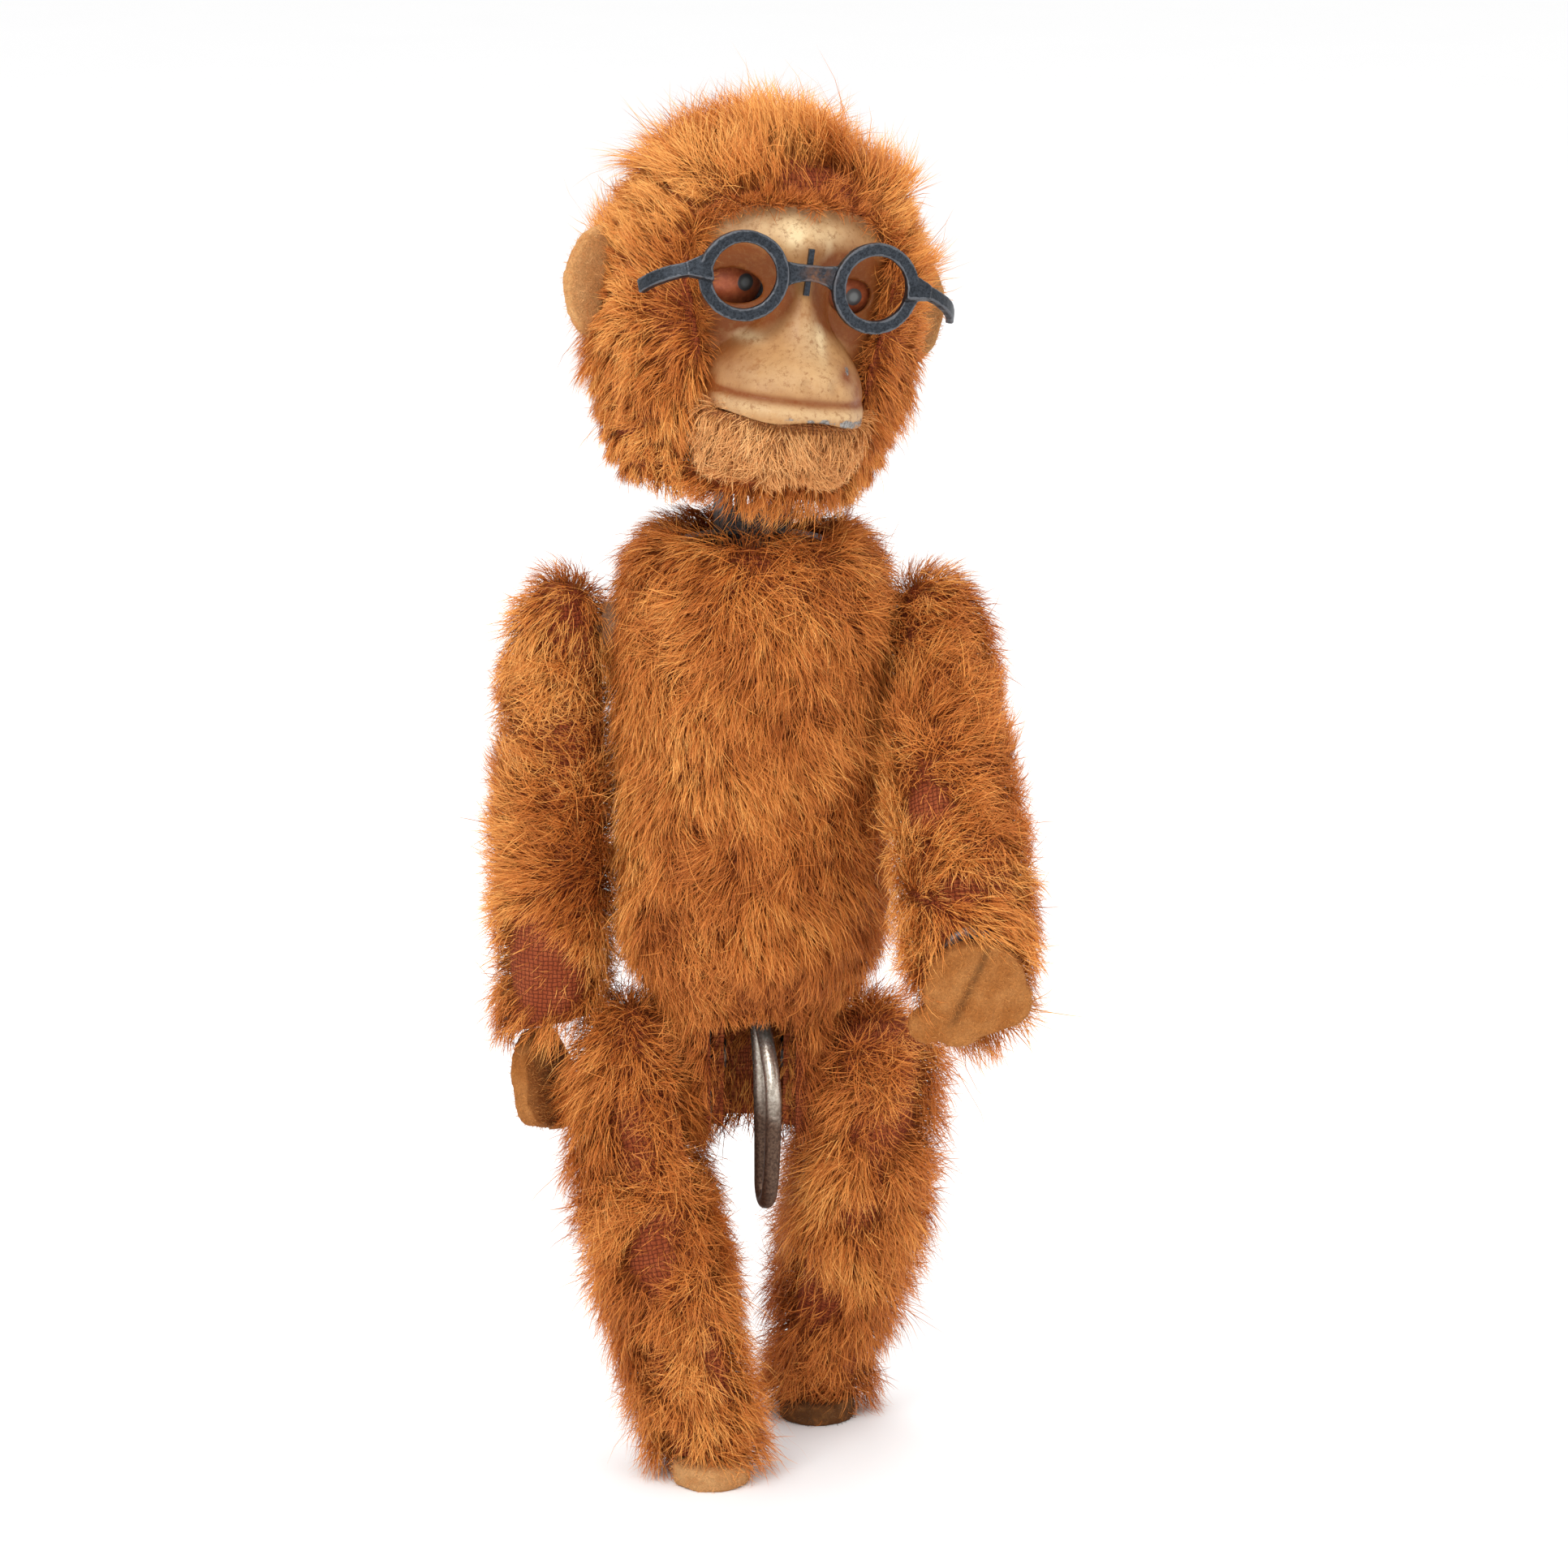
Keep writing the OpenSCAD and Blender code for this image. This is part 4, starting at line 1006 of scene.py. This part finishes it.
def fringe_roots(rng):
    """Roots all round the mask but for the chin, where the pile turns in over the edge of the tin."""
    z_edge = rng.uniform(LIP_EDGE + 0.5, BROW_TOP, FRINGE_HAIRS)
    side = np.where(rng.random(len(z_edge)) < 0.5, -1.0, 1.0)
    half = np.interp(z_edge, *zip(*HALF_WIDTHS))
    top = rng.random(len(z_edge)) < BROW_SHARE
    x = np.where(top, rng.uniform(-7.5, 7.5, len(z_edge)), side * (half + 0.15))
    z = np.where(top, np.interp(np.abs(x), [0, 5, 7.6], [119.9, 119.4, 118.3]), z_edge)
    y = -np.sqrt(np.maximum(12.8**2 - x**2, 9)) - 0.1
    y = np.where(z > 116, y * np.sqrt(np.clip(1 - ((z - 116) / 12.5) ** 2, 0.3, 1)), y)
    local = np.stack([x, y, z], axis=1) + 0.25 * rng.normal(size=(len(x), 3))
    out = unit(np.stack([0.35 * x, -8 + 0 * x, 0 * x], axis=1))
    return moved(HEAD, local), spun(HEAD, out), HEAD.inverted()


def fringe_lay(p, n):
    """Down and in over the cheeks, up and out over the brow."""
    high = step(113, 118, p[:, 2])
    inward = -np.sign(p[:, 0]) * (0.55 - 0.3 * high)
    return np.stack([inward, 0 * p[:, 0], -0.75 + 1.1 * high], axis=1)


fringe = Coat(HEAD, away=None, lay=fringe_lay, hairs=mohair_hairs, length=2.5, rise=0.45, seed=401,
              wild=0.5, ragged=0.75, tuft=1.8, gather=0.8, edge=fringe_roots,
              shape=lambda p: 1 - 0.4 * step(116, 119, p[:, 2]),
              shade=lambda p: -0.12 - 0.1 * bump(p[:, 2] - 110, 5))
fringe.grow("face_fringe", None, "head")


# ---- eyes
def build_eye(node, side, pupil):
    """A painted eye: half an egg, flat at the back. It stores the distance from the pupil's middle."""
    rings, around = 44, 72
    size = np.array([3.645, 2.7, 2.835])
    centre = np.array([side * EYE_X, -6.3, EYE_Z])
    theta = np.linspace(0, math.pi / 2, rings + 1)[1:]
    phi = np.arange(around) / around * 2 * math.pi
    t, f = np.meshgrid(theta, phi, indexing="ij")
    dome = np.stack([np.sin(t) * np.cos(f), -np.cos(t), np.sin(t) * np.sin(f)], axis=-1).reshape(-1, 3)
    points = centre + np.concatenate([dome, [[0, -1, 0], [0, 0, 0]]]) * size
    out = np.hypot(points[:, 0] - pupil[0], points[:, 2] - pupil[1])
    points[:, 1] -= 0.05 * (1 - step(0.78, 0.88, out)) * (points[:, 1] < -7)
    cells = np.arange(rings * around).reshape(rings, around)
    nxt = np.roll(cells, -1, axis=1)
    quads = np.stack([cells[:-1], cells[1:], nxt[1:], nxt[:-1]], axis=-1).reshape(-1, 4)
    front = np.stack([np.full(around, rings * around), cells[0], nxt[0]], axis=-1)
    rear = np.stack([np.full(around, rings * around + 1), nxt[-1], cells[-1]], axis=-1)
    mesh = mesh_of(node + "_paint", moved(HEAD, points), [quads, front, rear], [materials["eye"]])
    store(mesh, "gaze", out)
    obj = new_object(node + "_painted", mesh)
    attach(obj, "head")
    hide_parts(node)


build_eye("right_eye", -1, (-3.9, 111.9))
build_eye("left_eye", 1, (6.3, 111.55))


# ---- spectacles
def build_spectacles():
    """The wire spectacles, with worn edges and a rust spot at the bridge."""
    mesh = softened("spectacles", "spectacles", 0.11, 4)
    points, normals = points_of(mesh), normals_of(mesh)
    edge = sharpness(mesh, points, normals, 0.02)
    uneven = 0.045 * noise(points, 1.3, 9) + 0.02 * noise(points, 0.5, 10)
    points = points + normals * uneven[:, None]
    local = moved(HEAD.inverted(), points)
    settle(mesh, points)
    store(mesh, "edge", edge)
    store(mesh, "rust", bump(local[:, 0] - 0.6, 1.0) * bump(local[:, 2] - 113.9, 0.8))
    mesh.materials.append(materials["gunmetal"])
    obj = new_object("spectacle_frame", mesh)
    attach(obj, "head")
    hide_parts("spectacles")


build_spectacles()


# ---- wire lever
LEVER_PATH = [(-1.2, 44.6), (-2.5, 42.4), (-4.8, 39.8), (-6.6, 37), (-7.1, 34), (-7, 31), (-6.7, 28),
              (-6, 26.1), (-4.7, 25.3), (-3.5, 26.2), (-3.1, 28), (-2.8, 32), (-2.3, 37), (-1.2, 41),
              (0.9, 44.6)]
WIRE_RADIUS = 0.75


def smooth_path(path, per_span):
    """A curve through every point of a path."""
    p = np.array(path, float)
    p = np.concatenate([[2 * p[0] - p[1]], p, [2 * p[-1] - p[-2]]])
    t = np.arange(per_span)[:, None] / per_span
    spans = []
    for a, b, c, d in zip(p[:-3], p[1:-2], p[2:-1], p[3:]):
        square, cube = 2 * a - 5 * b + 4 * c - d, 3 * b - a - 3 * c + d
        spans.append(0.5 * (2 * b + (c - a) * t + square * t**2 + cube * t**3))
    return np.concatenate([*spans, [p[-2]]])


def build_lever():
    """One bent wire in the plane that turns with the neck, its ends in the hub."""
    line = smooth_path(LEVER_PATH, 8)
    slope = unit(np.gradient(line, axis=0))
    around = 24
    phi = np.arange(around) / around * 2 * math.pi
    side = np.stack([-slope[:, 1], slope[:, 0]], axis=1)
    sway = 0.12 * np.sin(np.linspace(0, 9, len(line)))
    x = np.cos(phi)[None, :] * WIRE_RADIUS + sway[:, None]
    y = line[:, :1] + side[:, :1] * np.sin(phi)[None, :] * WIRE_RADIUS
    z = line[:, 1:] + side[:, 1:] * np.sin(phi)[None, :] * WIRE_RADIUS
    points = np.stack([x, y, z], axis=-1).reshape(-1, 3)
    cells = np.arange(len(points)).reshape(-1, around)
    nxt = np.roll(cells, -1, axis=1)
    quads = np.stack([cells[:-1], nxt[:-1], nxt[1:], cells[1:]], axis=-1).reshape(-1, 4)
    caps = [cells[:1, ::-1], cells[-1:]]
    mesh = mesh_of("lever_wire", moved(TURNED, points), [quads, *caps], [materials["wire"]])
    obj = new_object("lever_wire", mesh)
    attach(obj, "lever")
    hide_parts("wire_lever")


build_lever()

# ---- stage, lights and camera
TARGET = Vector((1.53, 2.98, 64.2)) * MM
DISTANCE = 600 * MM
ELEVATION = 12
VIEW_WIDTH = 146.06 * MM


def build_stage():
    """A white floor and an even white sky."""
    p = Paint("paper", roughness=0.9)
    p.out("Base Color", p.mix(p.grain(0.02, 3), (0.955, 0.955, 0.955), (0.975, 0.975, 0.975)))
    size = 4000.0
    corners = np.array([[-size, -size, 0], [size, -size, 0], [size, size, 0], [-size, size, 0]])
    sheet = mesh_of("floor", corners, [np.array([[0, 1, 2, 3]])], [p.mat], smooth=False)
    floor = new_object("floor", sheet)
    world = bpy.data.worlds.new("studio")
    world.use_nodes = True
    sky = next(n for n in world.node_tree.nodes if n.type == "BACKGROUND")
    sky.inputs["Color"].default_value = (1, 1, 1, 1)
    sky.inputs["Strength"].default_value = 1.0
    bpy.context.scene.world = world
    bpy.context.scene.view_settings.view_transform = "Standard"


def soft_light(name, place, size, power):
    data = bpy.data.lights.new(name, "AREA")
    data.size = size
    data.energy = power
    lamp = new_object(name, data)
    lamp.location = place
    lamp.rotation_euler = (TARGET - Vector(place)).to_track_quat("-Z", "Y").to_euler()


def build_camera():
    data = bpy.data.cameras.new("camera")
    data.angle = 2 * math.atan(VIEW_WIDTH / 2 / DISTANCE)
    data.clip_start = 0.01
    cam = new_object("camera", data)
    e = math.radians(ELEVATION)
    back = Vector((0, -math.cos(e), math.sin(e)))
    cam.location = TARGET + back * DISTANCE
    cam.rotation_euler = (-back).to_track_quat("-Z", "Y").to_euler()
    bpy.context.scene.camera = cam


build_stage()
# Name, place and size in metres, power in watts
soft_light("key", (-0.30, -0.55, 0.62), 0.35, 3.0)
soft_light("fill", (0.55, -0.45, 0.25), 0.5, 0.8)
soft_light("top", (0.0, 0.25, 0.75), 0.5, 1.5)
build_camera()
